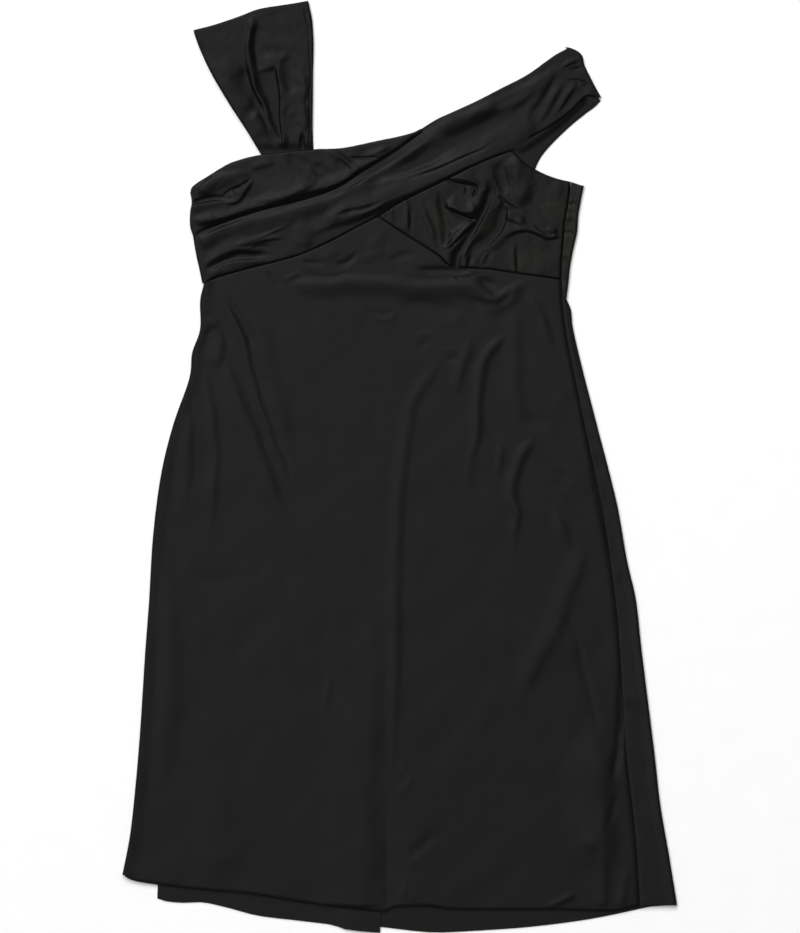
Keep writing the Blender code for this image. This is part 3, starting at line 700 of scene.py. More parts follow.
@dataclass(frozen=True)
class Skirt:
    """The skirt: a front that turns under at the left side, and two back panels with a vent between them."""

    lie: float = 4.6 * MILLIMETRE
    edge_lie: float = 5.6 * MILLIMETRE
    back_lie: float = 0.8 * MILLIMETRE
    turn_top: float = 5.0
    turn_hem: float = 33.0
    centre_top: float = 388.0
    centre_hem: float = 382.0
    strip_top: float = 299.0
    vent_share: float = 0.78
    vent_underlap: float = 0.03
    vent_rise: float = 2.7 * MILLIMETRE
    rows: int = 216
    top_steps: tuple[int, int] = (88, 92)
    back_steps: int = 26
    strip_steps: int = 16
    front_hem: Rows = (
        (122.3, 875), (140, 882), (202, 890), (249, 894), (291, 901), (333, 907), (382, 912), (393, 908),
        (426, 906.5), (459, 910), (547, 910), (613, 911), (640, 905.5),
    )
    back_hem_left: Rows = (
        (157, 898.5), (166, 901.5), (184, 903), (203, 902.5), (228, 908), (258, 915.8), (300, 921), (332, 925),
        (342, 928.8), (364, 931.6), (380, 932.8),
    )
    back_hem_right: Rows = (
        (380, 924.4), (390, 925.4), (410, 927.8), (440, 931.6), (460, 932.6), (500, 930.4), (540, 927.2),
        (580, 922), (610, 916.6), (640, 909.6), (652, 906.8), (675, 905.2),
    )
    front_cut: tuple[float, float, float] = (0.65, 0.81, 0.403)
    back_left_cut: tuple[float, float, float] = (0.27, 0.74, 0.173)
    back_right_cut: tuple[float, float, float] = (0.42, 0.76, 0.227)
    folds: tuple[Relief, ...] = (
        Fold(1.6, 22, 11, (
            (287, 526), (276, 497), (267, 477), (258, 452), (251, 432), (243, 412), (235, 395), (228, 370), (222, 345),
        ), (0.3, 0.3)),
        Fold(1.2, 7, 5, (
            (296, 504), (283, 468), (274, 446), (267, 426), (259, 402), (252, 378), (246, 352), (240, 331), (232, 316),
            (221, 295),
        ), (0.3, 0.15)),
        Fold(-0.9, 6, 6, ((254, 352), (250, 340), (246, 328), (239, 317), (231, 307), (225, 296)), (0.2, 0.3)),
        Fold(1.0, 5, 16, (
            (296, 480), (288, 450), (281, 424), (274, 398), (268, 372), (262, 345), (255, 325), (244, 308), (235, 288),
        )),
        Fold(1.0, 8, 8, (
            (208, 558), (211, 520), (212, 495), (215, 465), (214, 440), (211, 415), (208, 390), (205, 360),
        ), (0.4, 0.3)),
        Fold(0.9, 14, 8, ((182, 522), (187, 470), (188, 430), (185, 386))),
        Fold(1.1, 14, 7, ((213, 372), (219, 352), (221, 334))),
        Fold(-1.3, 3, 3, ((200, 309), (206, 313), (214, 316)), (0.05, 0.5)),
        Fold(-1.3, 4, 4, ((201, 328), (207, 332), (215, 334)), (0.05, 0.5)),
        Fold(1.0, 5, 5, ((201, 321), (210, 322), (219, 328)), (0.05, 0.4)),
        Fold(-0.7, 2.5, 2.5, ((229, 354), (226, 337), (221, 326), (213, 318))),
        Fold(-0.9, 3.5, 3.5, ((266, 270), (272, 278), (280, 287)), (0.3, 0.3)),
        Fold(0.7, 5, 4, ((281, 281), (291, 277), (302, 271.5))),
        Fold(2.3, 7, 18, (
            (286, 288), (300, 283.5), (330, 283), (360, 280), (390, 282), (420, 286), (440, 286), (460, 283.5),
            (474, 286), (484, 293), (495, 298), (508, 292), (519, 285), (532, 280),
        ), (0.12, 0.12)),
        Fold(-1.2, 4, 3, ((299, 262), (312, 263.5), (326, 264))),
        Fold(-1.5, 6, 3.5, ((332, 262), (344, 264.5), (352, 260), (359, 251))),
        Fold(-1.0, 6, 5, ((386, 262), (400, 257), (415, 254))),
        Fold(0.6, 9, 8, ((318, 260), (330, 254), (342, 248))),
        Fold(0.6, 9, 8, ((356, 262), (372, 256), (388, 248))),
        Fold(-1.0, 2, 2, ((297, 270), (312, 275), (335, 276.5), (356, 271))),
        Fold(0.6, 9, 9, ((366, 248), (378, 240), (388, 232))),
        Fold(-2.4, 6, 4, ((412, 268), (432, 271), (450, 271.5), (472, 270)), (0.3, 0.2)),
        Fold(-1.4, 1.8, 1.6, ((398, 273), (418, 277.5), (440, 278.5), (462, 277), (484, 273)), (0.3, 0.3)),
        Fold(-1.5, 8, 6, ((476, 280), (487, 284), (498, 284))),
        Fold(-1.4, 8, 6, ((494, 306), (506, 299), (514, 287))),
        Fold(-0.9, 5, 9, ((464, 298), (484, 303), (502, 303))),
        Fold(-0.6, 3, 3, ((366, 303), (371, 311), (381, 315), (391, 312), (396, 305))),
        Fold(0.6, 3, 3, ((368, 313), (378, 320), (390, 318), (399, 309))),
        Fold(-0.8, 10, 16, ((390, 302), (430, 306), (474, 310))),
        Fold(0.9, 8, 6, ((553, 354), (547, 332), (541, 314), (533, 300), (525, 286))),
        Fold(0.8, 14, 11, ((520, 432), (516, 400), (515, 360), (515, 335), (516, 308)), (0.25, 0.15)),
        Fold(-0.5, 14, 14, ((520, 418), (535, 421), (555, 418))),
        Fold(1.5, 8, 8, (
            (464, 496), (471, 460), (475, 442), (477, 420), (478, 392), (482, 368), (490, 351), (507, 334),
        ), (0.5, 0.1)),
        Fold(0.9, 11, 7, ((455, 400), (460, 376), (464, 360), (473, 333))),
        Fold(-0.7, 4, 4, ((415, 349), (423, 344.5), (431, 341))),
        Fold(0.5, 4, 4, ((411, 343), (418, 336), (430, 333), (437, 341))),
        Fold(-0.7, 3.5, 4, ((442, 360), (450, 359), (460, 357))),
        Fold(0.5, 4, 4, ((440, 353), (450, 350), (462, 351))),
        Fold(1.0, 11, 9, (
            (390, 790), (393, 740), (394, 690), (395, 640), (395, 590), (397, 530), (400, 480), (404, 452), (407, 428),
            (411, 408), (419, 391), (431, 374), (446, 352),
        ), (0.25, 0.12)),
        Fold(1.6, 8, 8, (
            (507, 572), (514, 535), (517, 515), (512, 500), (512, 486), (516, 470), (521, 455), (534, 438),
        ), (0.55, 0.1)),
        Fold(0.8, 5, 5, ((496, 480), (499, 460), (503, 438))),
        Fold(-0.9, 2.5, 2.5, ((550, 466), (560, 473), (572, 482))),
        Fold(-0.5, 2, 2, ((548, 485), (560, 486), (573, 487))),
        Fold(0.9, 12, 8, ((571, 550), (562, 529), (554, 508))),
        Fold(-0.4, 1.6, 1.6, ((508, 364), (525, 375), (545, 387), (563, 398))),
        Fold(-1.8, 7, 3, ((613, 590), (607, 536), (604.5, 515), (598, 490), (591, 455), (583, 416)), (0.4, 0.6)),
        Fold(-2.6, 7, 3, ((612, 784), (616, 766), (620, 748), (622, 722), (621.5, 700), (620.5, 670)), (0.2, 0.4)),
        Fold(1.3, 50, 23, ((363, 908), (364, 800), (368, 720), (374, 650), (379, 590)), (0.01, 0.5)),
        Fold(0.8, 26, 40, ((412, 908), (412, 840), (408, 770)), (0.01, 0.5)),
        Fold(-0.5, 5, 4, ((387, 908), (387, 850), (387, 780)), (0.01, 0.5)),
        Fold(1.2, 14, 20, ((158, 800), (164, 740), (168, 660), (166, 600), (160, 540)), (0.3, 0.3)),
        Fold(1.1, 26, 42, ((214, 892), (213, 800), (210, 700)), (0.2, 0.5)),
        Fold(-0.4, 1.5, 2.5, ((180, 577), (215, 578), (240, 577), (266, 579)), (0.2, 0.2)),
        Fold(0.6, 4, 4, ((322, 716), (327, 695), (331, 674))),
        Fold(0.5, 3, 3, ((345, 704), (343, 690), (341, 676))),
        Fold(1.1, 20, 10, (
            (516, 700), (529, 678), (540, 657), (553, 636), (560, 616), (566, 596), (577, 572), (585, 540),
        ), (0.2, 0.2)),
        Fold(-0.9, 10, 3, ((604, 750), (596, 712), (588, 680), (579, 642), (569, 608))),
        Fold(2.4, 42, 20, ((606, 885), (602, 840), (600, 800), (598, 760), (596, 722)), (0.3, 0.3)),
        Fold(-1.1, 5, 5, ((605, 838), (611, 814), (620, 788))),
        Fold(0.9, 10, 9, ((602, 907), (603, 880), (600, 846)), (0.05, 0.4)),
        Fold(0.8, 5, 5, ((620, 906), (624, 885), (631, 860)), (0.05, 0.4)),
        Fold(-1.5, 2.5, 4.5, ((395, 857), (410, 854.5), (421, 846.5), (431, 837), (445, 831))),
        Fold(0.7, 4, 3, ((400, 866), (412, 864), (424, 855))),
        Fold(0.9, 4, 4, ((394, 800), (404, 790), (415, 776))),
        Fold(0.7, 3, 3, ((395, 779), (402, 768), (411, 761))),
        Fold(1.1, 5, 4, ((545, 907), (562, 901), (580, 893))),
        Fold(0.9, 4, 4, ((579, 839), (589, 843), (600, 849))),
        Fold(0.7, 3, 3, ((399, 904), (404, 890), (407, 876))),
        Rumple(0.20, 60, 3),
        Rumple(0.09, 22, 4),
    )
    strip_folds: tuple[Relief, ...] = (Rumple(0.20, 40, 8), Rumple(0.10, 14, 9))
    back_folds: tuple[Relief, ...] = (
        Fold(0.5, 7, 9, ((300, 860), (310, 700), (300, 560))),
        Fold(0.6, 6, 7, ((455, 520), (470, 420), (462, 340))),
        Fold(0.5, 8, 8, ((520, 880), (545, 760), (548, 640))),
        Fold(0.5, 6, 6, ((235, 500), (262, 430), (270, 350))),
        Fold(0.45, 6, 8, ((330, 330), (390, 338), (470, 330))),
        Fold(0.45, 9, 6, ((210, 800), (225, 720), (222, 640))),
    )

    def stations(self) -> Points:
        """Returns the rows' shares of the way down: close at both ends, and wider below the creased part."""
        rows, shares = (0.0, 0.04, 0.62, 0.96, 1.0), (0.0, 0.012, 0.42, 0.975, 1.0)
        return np.interp(even(self.rows), rows, shares)

    def front(self) -> Panel:
        """Shapes the front: a net between its seams, side fold and hem, raised by its folds.

        Returns:
            The front panel, with its left side turned under.
        """
        down = self.stations()
        top = joined((LINES.band_skirt, self.top_steps[0]), (LINES.cup_skirt, self.top_steps[1]))
        side = along(LINES.skirt_left, down)
        seam = along(LINES.skirt_seam, down)
        hem = along(self.front_hem, even(len(top) - 1))
        fold_line = side + (self.edge_lie / 2 / STEP, 0.0)
        top[0], hem[0] = fold_line[0], fold_line[-1]
        points = inset(net(top, hem, fold_line, seam, down), CLOTH.seam_gap, Side.TOP, Side.RIGHT)
        dips = (*FLAT_SEAMS, Edge(1.4, 3.5, LINES.skirt_seam), Edge(1.0, 2.5, self.front_hem))
        height = raised(points, self.lie, LOWEST, self.folds, dips)
        height = settled(points, height, points[:, :1], self.edge_lie, 12.0)
        turn = turned_under(
            points[:, 0] - (self.edge_lie / 2 / STEP, 0.0), (-1.0, 0.0), self.edge_lie,
            np.interp(down, (0.0, 1.0), (self.turn_top, self.turn_hem)),
        )
        skins = turn.backwards().then(Skins.of(points, height))
        rests = ("back_skirt_left", "back_skirt_right")
        return Panel("front_skirt", "skirt_front", skins, self.front_cut, rests)

    def back_seams(self) -> tuple[Points, Points, Points]:
        """Returns the lines down the back: the left seam, the centre seam and the right fold."""
        down = self.stations()
        reach = self.edge_lie / 2 / STEP + np.interp(down, (0.0, 1.0), (self.turn_top, self.turn_hem))
        left = along(LINES.skirt_left, down) + np.column_stack([reach, np.zeros(len(down))])
        right = along(LINES.skirt_right, down)
        across = np.interp(down, (0.0, 1.0), (self.centre_top, self.centre_hem))
        centre = np.column_stack([across, (left[:, 1] + right[:, 1]) / 2])
        left[0], right[0] = LINES.back_waist
        centre[0, 1] = np.interp(centre[0, 0], *np.transpose(LINES.back_waist))
        right[0] = (566, 298)
        return left, centre, right

    def back_left(self) -> Panel:
        """Shapes the left back: a net on the table that climbs over the vent's underlap at its lower right."""
        left, centre, _ = self.back_seams()
        hem = along(self.back_hem_left, even(self.back_steps))
        left[-1], centre[-1] = hem[0], hem[-1]
        top = np.linspace(left[0], centre[0], self.back_steps + 1)
        points = net(top, hem, left, centre, self.stations())
        points = inset(points, CLOTH.seam_gap, Side.TOP, Side.LEFT, Side.RIGHT)
        lap = ease((self.stations() - self.vent_share) / 0.04)[:, None] * ease((points[..., 0] - 335) / 12)
        height = self.back_lie + (self.vent_rise - self.back_lie) * lap
        for relief in self.back_folds:
            height = height + relief.height(points) * (1 - lap)
        skins = Skins.of(points, height)
        return Panel("back_skirt_left", "skirt_back_left", skins, self.back_left_cut, ("back_skirt_right",))

    def back_right(self) -> Panel:
        """Shapes the right back: from the front's seam over the right side, and flat beneath to the centre."""
        down = self.stations()
        _, centre, right = self.back_seams()
        fold_line = right - (self.edge_lie / 2 / STEP, 0.0)
        hem = along(self.back_hem_right, even(self.back_steps))
        centre[-1] = hem[0]
        fold_line[-1, 1] = hem[-1, 1]
        hem[-1] = fold_line[-1]
        top = np.linspace(centre[0], fold_line[0], self.back_steps + 1)
        lying = inset(net(top, hem, centre, fold_line, down), CLOTH.seam_gap, Side.TOP, Side.LEFT)
        share = np.linspace(1.0, 0.0, self.back_steps + 1)[None, :]
        vent = (down >= self.vent_share)[:, None] * share
        lying[..., 0] -= vent * self.vent_underlap / STEP
        flat = np.zeros(lying.shape[:2])
        for relief in self.back_folds:
            flat += relief.height(lying) * (share < 0.9)
        beneath = DRAWING.place(lying, flat)[:, -2::-1]
        below = Skins(beneath, beneath + np.array([0.0, 0.0, CLOTH.thick]))
        seam = along(LINES.skirt_seam, down)
        seam[0] = (np.interp(self.strip_top, seam[:20, 1], seam[:20, 0]), self.strip_top)
        strip = np.linspace(seam, lying[:, -1], self.strip_steps + 1, axis=1)
        strip = inset(strip, CLOTH.seam_gap, Side.LEFT, Side.TOP)
        height = raised(strip, self.lie, LOWEST, self.strip_folds, (Edge(0.4, 2.0, LINES.skirt_seam),))
        height = settled(strip, height, strip[:, -1:], self.edge_lie)
        turn = turned_under(lying[:, -1] + (self.edge_lie / 2 / STEP, 0.0), (1.0, 0.0), self.edge_lie)
        skins = Skins.of(strip, height).then(turn).then(below)
        return Panel("back_skirt_right", "skirt_back_right", skins, self.back_right_cut, ("floor",))

    def panels(self) -> list[Panel]:
        """Returns the skirt's panels."""
        return [self.front(), self.back_left(), self.back_right()]


@dataclass(frozen=True)
class Bodice:
    """The bodice: a back, an upper drape, a lower drape that becomes the right strap, and a gathered cup."""

    lie: float = 4.4 * MILLIMETRE
    drape_lie: float = 5.6 * MILLIMETRE
    edge_lie: float = 5.6 * MILLIMETRE
    turn: float = 5.0
    strap_turn: float = 3.0
    drape_steps: tuple[int, int] = (180, 64)
    band_steps: tuple[int, int, int] = (92, 76, 62)
    band_rows: int = 60
    cup_steps: tuple[int, int] = (120, 130)
    groove_ends: tuple[tuple[float, ...], tuple[float, ...]] = ((220, 300, 340, 385, 440), (0.16, 0.21, 0.27, 0.32, 0.2))
    groove_floor: float = 2.2 * MILLIMETRE
    back_steps: tuple[int, int, int] = (16, 26, 16)
    strip_steps: int = 14
    strip_rows: int = 90
    neckline: Rows = (
        (190, 192), (193.5, 185.5), (208, 176), (226, 165), (240, 159.6), (262, 154.6), (312, 149.4), (332, 148.7),
        (348, 147), (380, 140.2), (396, 137), (412, 132.8), (421, 128.6),
    )
    drape_side: Rows = ((190, 192), (191.6, 202), (190, 212), (190, 226), (193, 236))
    drape_roll: Rows = (
        (193, 236), (214, 226), (260, 211), (300, 201), (335, 189), (362, 172), (390, 155), (406, 143.5),
        (422.6, 131),
    )
    band_side: Rows = ((192.5, 232), (194, 243), (196.5, 257), (199.5, 270), (202, 283))
    band_top: Rows = (
        (192.5, 232), (215, 222), (250, 207), (300, 193.5), (333, 183), (360, 168), (388, 151), (404, 140),
        (420, 129.6), (436, 119.6), (452, 112.2), (464, 106.8), (480, 99.2), (504, 86.8), (520, 78.8), (532, 71.6),
        (544, 62.8), (556, 54.4), (567, 48.6),
    )
    strap_lower: Rows = ((513, 151), (532, 137), (552, 126), (570, 112.5), (581, 101.5), (588, 96.5), (599, 98))
    shoulder: Rows = ((569, 48.6), (577, 50.6), (582.5, 56), (584.6, 65), (590, 76), (595, 86), (601.6, 98))
    shoulder_way: tuple[float, float] = (0.9, 0.436)
    back_neck: tuple[Rows, Rows, Rows] = (
        ((203, 200), (212, 188), (235, 173), (264, 163)),
        ((314, 158), (400, 160), (464, 165.5)),
        ((531, 181), (548, 183), (561, 184.5), (580, 187)),
    )
    armhole: Rows = ((513, 151), (525, 163), (536, 169.6), (546, 174.6), (558, 178.8), (571, 181.8))
    strip_outer: Rows = (
        (584, 185.4), (581, 200), (578.4, 216), (577.2, 232), (573.6, 248), (570.4, 265), (568.4, 284), (566.6, 298),
    )
    strip_end: Rows = ((562.4, 289.0), (562.8, 297.8))
    back_cut: tuple[float, float, float] = (0.48, 0.16, 0.061)
    drape_cut: tuple[float, float, float] = (0.31, 0.08, 0.0145)
    band_cut: tuple[float, float, float] = (0.54, 0.085, 0.034)
    cup_cut: tuple[float, float, float] = (0.19, 0.23, 0.0225)
    drape_folds: tuple[Relief, ...] = (
        Fold(2.2, 12, 6, ((191, 227), (230, 214), (270, 203), (335, 183), (362, 168), (390, 151), (412, 137)), (0.1, 0.3)),
        Fold(1.0, 5, 6, ((190, 221), (205, 219), (226, 216)), (0.1, 0.5)),
        Fold(-1.7, 5, 1.5, ((189, 203.5), (204, 201), (222, 198.5), (237, 197.5)), (0.05, 0.5)),
        Fold(1.5, 1.8, 10, ((188, 206.5), (204, 204), (222, 202), (241, 200.5)), (0.05, 0.35)),
        Fold(2.0, 6, 15, ((196, 196), (204, 186), (216, 178.5), (236, 175), (254, 172)), (0.15, 0.3)),
        Fold(1.8, 16, 4, ((224, 203), (237, 200), (245, 190), (255, 177)), (0.3, 0.3)),
        Fold(-1.5, 1.6, 1.8, ((222, 198), (232, 189.5), (243, 184.5), (254, 177)), (0.2, 0.2)),
        Fold(-1.0, 1.5, 1.5, ((231, 190), (235, 194), (240, 198)), (0.1, 0.3)),
        Fold(1.9, 24, 8, ((250, 201), (276, 197), (304, 187), (322, 177)), (0.3, 0.3)),
        Fold(-1.1, 9, 8, ((284, 159), (298, 161), (314, 165)), (0.3, 0.3)),
        Fold(-1.2, 10, 9, ((306, 165), (320, 170), (330, 176), (340, 178)), (0.4, 0.4)),
        Fold(1.4, 4, 11, ((326, 150), (340, 156), (350, 163), (363, 173)), (0.2, 0.15)),
        Fold(-0.8, 3, 7, ((334, 157), (344, 163), (354, 170)), (0.3, 0.3)),
        Fold(-0.9, 3, 2, ((344, 157), (362, 158.5), (384, 159)), (0.3, 0.2)),
        Fold(0.9, 6, 4, ((360, 157), (376, 153), (394, 145))),
        Fold(0.9, 8, 6, ((246, 170), (262, 164), (280, 162))),
        Rumple(0.20, 26, 11),
        Rumple(0.07, 10, 12),
    )
    band_folds: tuple[Relief, ...] = (
        Fold(1.4, 5, 16, (
            (192, 243), (208, 235.5), (220, 229.5), (232, 226), (260, 219.5), (280, 214), (300, 208.5), (320, 202),
            (336, 197.5), (354, 190),
        ), (0.05, 0.25)),
        Fold(1.5, 14, 8, (
            (204, 268), (216, 260.5), (226, 254.5), (236, 249), (246, 247), (256, 246.5), (270, 249),
        ), (0.2, 0.35)),
        Fold(-2.0, 7, 5, (
            (204, 270), (216, 264), (226, 259.5), (236, 256), (246, 256), (256, 256), (265, 255.5), (275, 258),
        ), (0.15, 0.3)),
        Fold(1.1, 6, 3, ((232, 247), (252, 241.5), (266, 239), (287, 238)), (0.3, 0.3)),
        Fold(-0.9, 4, 4, ((248, 248), (257, 246.5), (264, 246), (273, 250)), (0.3, 0.3)),
        Fold(0.9, 2.5, 2.5, ((236, 243.5), (256, 237.5), (270, 232.5), (288, 225)), (0.3, 0.3)),
        Fold(1.0, 3, 8, ((205, 276), (222, 266), (238, 261.5), (256, 260.5), (274, 262)), (0.2, 0.4)),
        Fold(1.0, 6, 6, ((204, 280), (218, 273), (238, 268))),
        Fold(1.2, 14, 14, ((300, 252), (303, 234), (302, 217))),
        Fold(1.2, 12, 9, ((326, 226), (338, 214), (352, 206))),
        Fold(2.6, 24, 9, ((300, 238), (340, 221), (380, 204), (430, 182), (480, 160), (516, 142)), (0.3, 0.3)),
        Fold(-1.1, 4, 4, ((330, 218), (350, 212), (366, 208), (388, 199))),
        Fold(1.7, 2.5, 17, ((318, 204), (340, 194), (368, 178), (396, 161), (418, 147), (440, 133)), (0.35, 0.35)),
        Fold(-2.8, 24, 9, ((362, 185), (384, 174), (410, 168), (436, 156), (456, 145)), (0.2, 0.3)),
        Fold(-1.5, 25, 12, ((438, 152), (462, 140), (486, 130), (514, 113)), (0.3, 0.3)),
        Fold(-1.2, 10, 8, ((484, 109), (508, 99), (534, 87))),
        Fold(-0.9, 1.6, 2, (
            (398, 181.5), (415, 177.5), (430, 171.5), (445, 165.5), (458, 160), (472, 154), (484, 148.5), (494, 141),
            (505, 132),
        ), (0.3, 0.4)),
        Fold(0.6, 6, 2, ((402, 178), (430, 169), (446, 163), (460, 157.5), (478, 150), (493, 139)), (0.3, 0.4)),
        Fold(1.9, 9, 15, ((426, 136), (464, 117), (495, 104), (530, 87), (558, 66)), (0.2, 0.2)),
        Fold(0.8, 18, 12, ((500, 150), (520, 135), (538, 112))),
        Fold(0.9, 9, 6, ((524, 126), (532, 107), (541, 95), (548, 83), (554, 73))),
        Fold(0.9, 7, 5, ((536, 127), (545, 112), (553, 99), (559, 89), (566, 78))),
        Fold(1.1, 6, 3.5, ((555, 114), (565, 98), (572, 89), (577, 82))),
        Fold(-0.8, 2, 2.5, ((568, 69), (577, 69), (586, 64)), (0.2, 0.2)),
        Fold(-0.8, 2, 2, ((575, 85), (582, 81), (590, 88)), (0.2, 0.2)),
        Fold(-1.0, 2, 2, ((565, 79), (575, 80.5), (583, 78))),
        Fold(0.9, 5, 3, ((560, 68), (570, 63), (580, 60))),
        Rumple(0.18, 26, 21),
        Rumple(0.07, 10, 22),
    )
    cup_folds: tuple[Relief, ...] = (
        Fold(1.8, 13, 8, (
            (450, 272), (450.5, 260), (453.5, 250), (460.5, 240), (468.5, 230), (473.5, 220), (477.5, 210), (481, 200),
            (484.5, 190), (486, 174),
        ), (0.05, 0.3)),
        Fold(-2.7, 13, 2.4, (
            (456.5, 272), (458, 260), (463, 250), (469, 240), (476, 230), (481, 220), (486, 210), (490, 200), (494, 191),
            (490, 175),
        ), (0.05, 0.25)),
        Fold(0.8, 3, 8, (
            (459.5, 272), (461, 260), (466, 250), (472, 240), (479, 230), (484, 220), (489, 210), (495, 199),
        ), (0.05, 0.25)),
        Fold(-2.6, 14, 2.6, (
            (470, 266), (475, 251), (488, 243), (498, 233), (504, 222), (506, 211), (503, 197),
        ), (0.15, 0.2)),
        Fold(0.8, 4, 10, ((480, 253), (491, 245), (501, 235.5), (507.5, 223), (509.5, 210))),
        Fold(0.8, 2.5, 2.5, ((464.5, 271), (466, 259), (471, 251)), (0.05, 0.4)),
        Fold(-2.0, 11, 8, ((503, 197), (503, 184), (501, 172), (503, 158))),
        Fold(2.0, 11, 20, ((523, 210), (519, 192), (517, 175), (514.5, 154)), (0.3, 0.2)),
        Fold(-1.7, 2, 2.2, ((498, 195), (506, 202), (513, 206.5), (522, 214)), (0.1, 0.4)),
        Fold(1.6, 9, 5, ((503, 214), (514, 220), (526, 225)), (0.3, 0.3)),
        Fold(1.5, 11, 6, (
            (498, 239), (512, 232), (522, 229.5), (532, 229.5), (541, 233), (549, 237), (560, 236),
        ), (0.3, 0.1)),
        Fold(-0.6, 2.5, 3, ((508, 236), (520, 233), (530, 232.3), (540, 236), (548, 240), (560, 239)), (0.2, 0.1)),
        Fold(-0.7, 2.5, 3, ((532, 222), (541, 229), (549, 234), (557, 235)), (0.3, 0.2)),
        Fold(1.0, 4, 4, ((545, 228), (552, 229.5), (559, 233))),
        Fold(0.8, 6, 3, ((514.5, 276), (514.5, 257), (515, 240)), (0.05, 0.5)),
        Fold(-0.6, 3, 5, ((517, 276), (517, 258), (517.5, 240)), (0.05, 0.5)),
        Fold(-2.6, 2.4, 2.2, ((445, 179.5), (455, 183.5), (464, 184.8), (471, 185.3), (479, 188.5)), (0.1, 0.1)),
        Fold(-1.8, 2.2, 2, ((473, 199), (475.5, 192.5), (477.5, 187)), (0.4, 0.1)),
        Fold(-1.1, 1.8, 1.8, ((466, 194), (467, 190), (467, 185)), (0.3, 0.1)),
        Fold(1.2, 5, 3, ((450, 178), (462, 179), (474, 181), (484, 187))),
        Fold(2.0, 17, 4, ((444, 205), (456, 209.5), (466, 212), (478, 211)), (0.2, 0.2)),
        Fold(-2.6, 4, 2.4, ((444, 207), (453, 212), (461, 216.5), (468, 219.5), (476, 220.5)), (0.3, 0.08)),
        Fold(1.4, 5, 2.5, ((441, 250), (452, 244), (460, 236), (467, 229), (478, 221)), (0.2, 0.3)),
        Fold(-1.2, 2, 2.5, ((447, 252), (456, 243.5), (463, 236.5), (472, 228))),
        Fold(1.0, 3.5, 2, ((445, 241), (455, 232), (466, 224))),
        Fold(-1.5, 8, 6, ((449, 254), (446, 230), (443, 205), (437, 188)), (0.3, 0.3)),
        Fold(1.0, 6, 5, ((436, 252), (430, 228), (424, 212), (419, 198))),
        Fold(-0.6, 3, 3, ((411, 232), (411.5, 218), (410, 205)), (0.4, 0.3)),
        Fold(-1.0, 1.6, 1.6, ((416, 215), (411, 205), (407, 198)), (0.3, 0.1)),
        Fold(1.1, 7, 3, ((408, 236), (408, 218), (406, 203))),
        Fold(0.9, 2.5, 2, ((394, 224), (391, 214), (392, 206))),
        Fold(-0.8, 2, 2, ((388, 219), (387, 212), (388, 206))),
        Fold(0.6, 9, 9, ((546, 200), (556, 189), (563, 180))),
        Fold(0.7, 3, 3, ((482, 267), (484, 258), (489, 250))),
        Rumple(0.18, 24, 31),
        Rumple(0.07, 9, 32),
    )
    cup_patches: tuple[Fold, ...] = (
        Fold(1.0, 10, 10, ((443, 246), (440, 225), (430, 205), (424, 195))),
        Fold(0.8, 9, 9, ((478, 242), (488, 228), (497, 212))),
        Fold(0.9, 26, 26, ((535, 215), (548, 205), (558, 192))),
        Fold(0.8, 18, 18, ((500, 268), (530, 258), (560, 255))),
    )
    strip_patches: tuple[Fold, ...] = (Fold(1.1, 30, 30, ((562, 310), (569, 240), (576, 170)), (0.05, 0.05)),)
    strip_folds: tuple[Relief, ...] = (
        Fold(-0.8, 4, 3, ((564, 206), (571, 205), (580, 203)), (0.05, 0.05)),
        Fold(-0.8, 3, 4, ((560, 234), (568, 233), (578, 232)), (0.05, 0.05)),
        Fold(0.7, 5, 5, ((560, 219), (568, 218), (579, 217)), (0.05, 0.05)),
        Fold(0.6, 5, 5, ((558, 255), (566, 254), (576, 252)), (0.05, 0.05)),
        Fold(1.4, 6, 6, ((560, 293), (563, 288), (568, 284)), (0.05, 0.05)),
        Rumple(0.12, 9, 41),
    )
    back_folds: tuple[Relief, ...] = (
        Fold(0.5, 6, 8, ((260, 250), (330, 235), (400, 240))),
        Fold(0.5, 7, 6, ((420, 270), (470, 225), (520, 215))),
        Fold(0.4, 5, 6, ((300, 268), (350, 255), (420, 262))),
        Fold(0.45, 5, 5, ((235, 262), (240, 225), (250, 195))),
    )

    def back(self) -> Panel:
        """Shapes the back: from the cup's side seam over the right side, and flat beneath to the left side."""
        down = even(self.strip_rows)
        knee = self.strip_rows - 8
        seam = np.vstack([along(LINES.cup_side, even(knee)), along(self.strip_end, even(7))])
        fold_line = along(self.strip_outer, down) - (self.edge_lie / 2 / STEP, 0.0)
        top = np.vstack([along(rows, even(steps)) for rows, steps in zip(self.back_neck, self.back_steps)])
        bottom = np.linspace(*LINES.back_waist, len(top))
        left = np.linspace(top[0], bottom[0], len(down))
        fold_line[0, 1] = 185.4
        top[-1], bottom[-1] = fold_line[0], fold_line[-1]
        lying = inset(net(top, bottom, left, fold_line), CLOTH.seam_gap, Side.TOP, Side.BOTTOM, Side.LEFT)
        clear = ease(np.linalg.norm(lying - lying[:, -1:], axis=-1) / 20)
        flat = np.zeros(lying.shape[:2])
        for relief in self.back_folds:
            flat += relief.height(lying) * clear
        beneath = DRAWING.place(lying, flat)[:, -2::-1]
        below = Skins(beneath, beneath + np.array([0.0, 0.0, CLOTH.thick]))
        strip = np.linspace(seam, lying[:, -1], self.strip_steps + 1, axis=1)
        strip = inset(strip, CLOTH.seam_gap, Side.LEFT, Side.BOTTOM)
        height = raised(strip, self.lie, LOWEST, self.strip_folds, FLAT_SEAMS)
        height = settled(strip, height, strip[:, -1:], self.edge_lie, 4.0)
        turn = turned_under(lying[:, -1] + (self.edge_lie / 2 / STEP, 0.0), (1.0, 0.0), self.edge_lie)
        skins = Skins.of(strip, height).then(turn).then(below)
        return Panel("back_bodice", "bodice_back", skins, self.back_cut, ("floor",), patches=self.strip_patches)

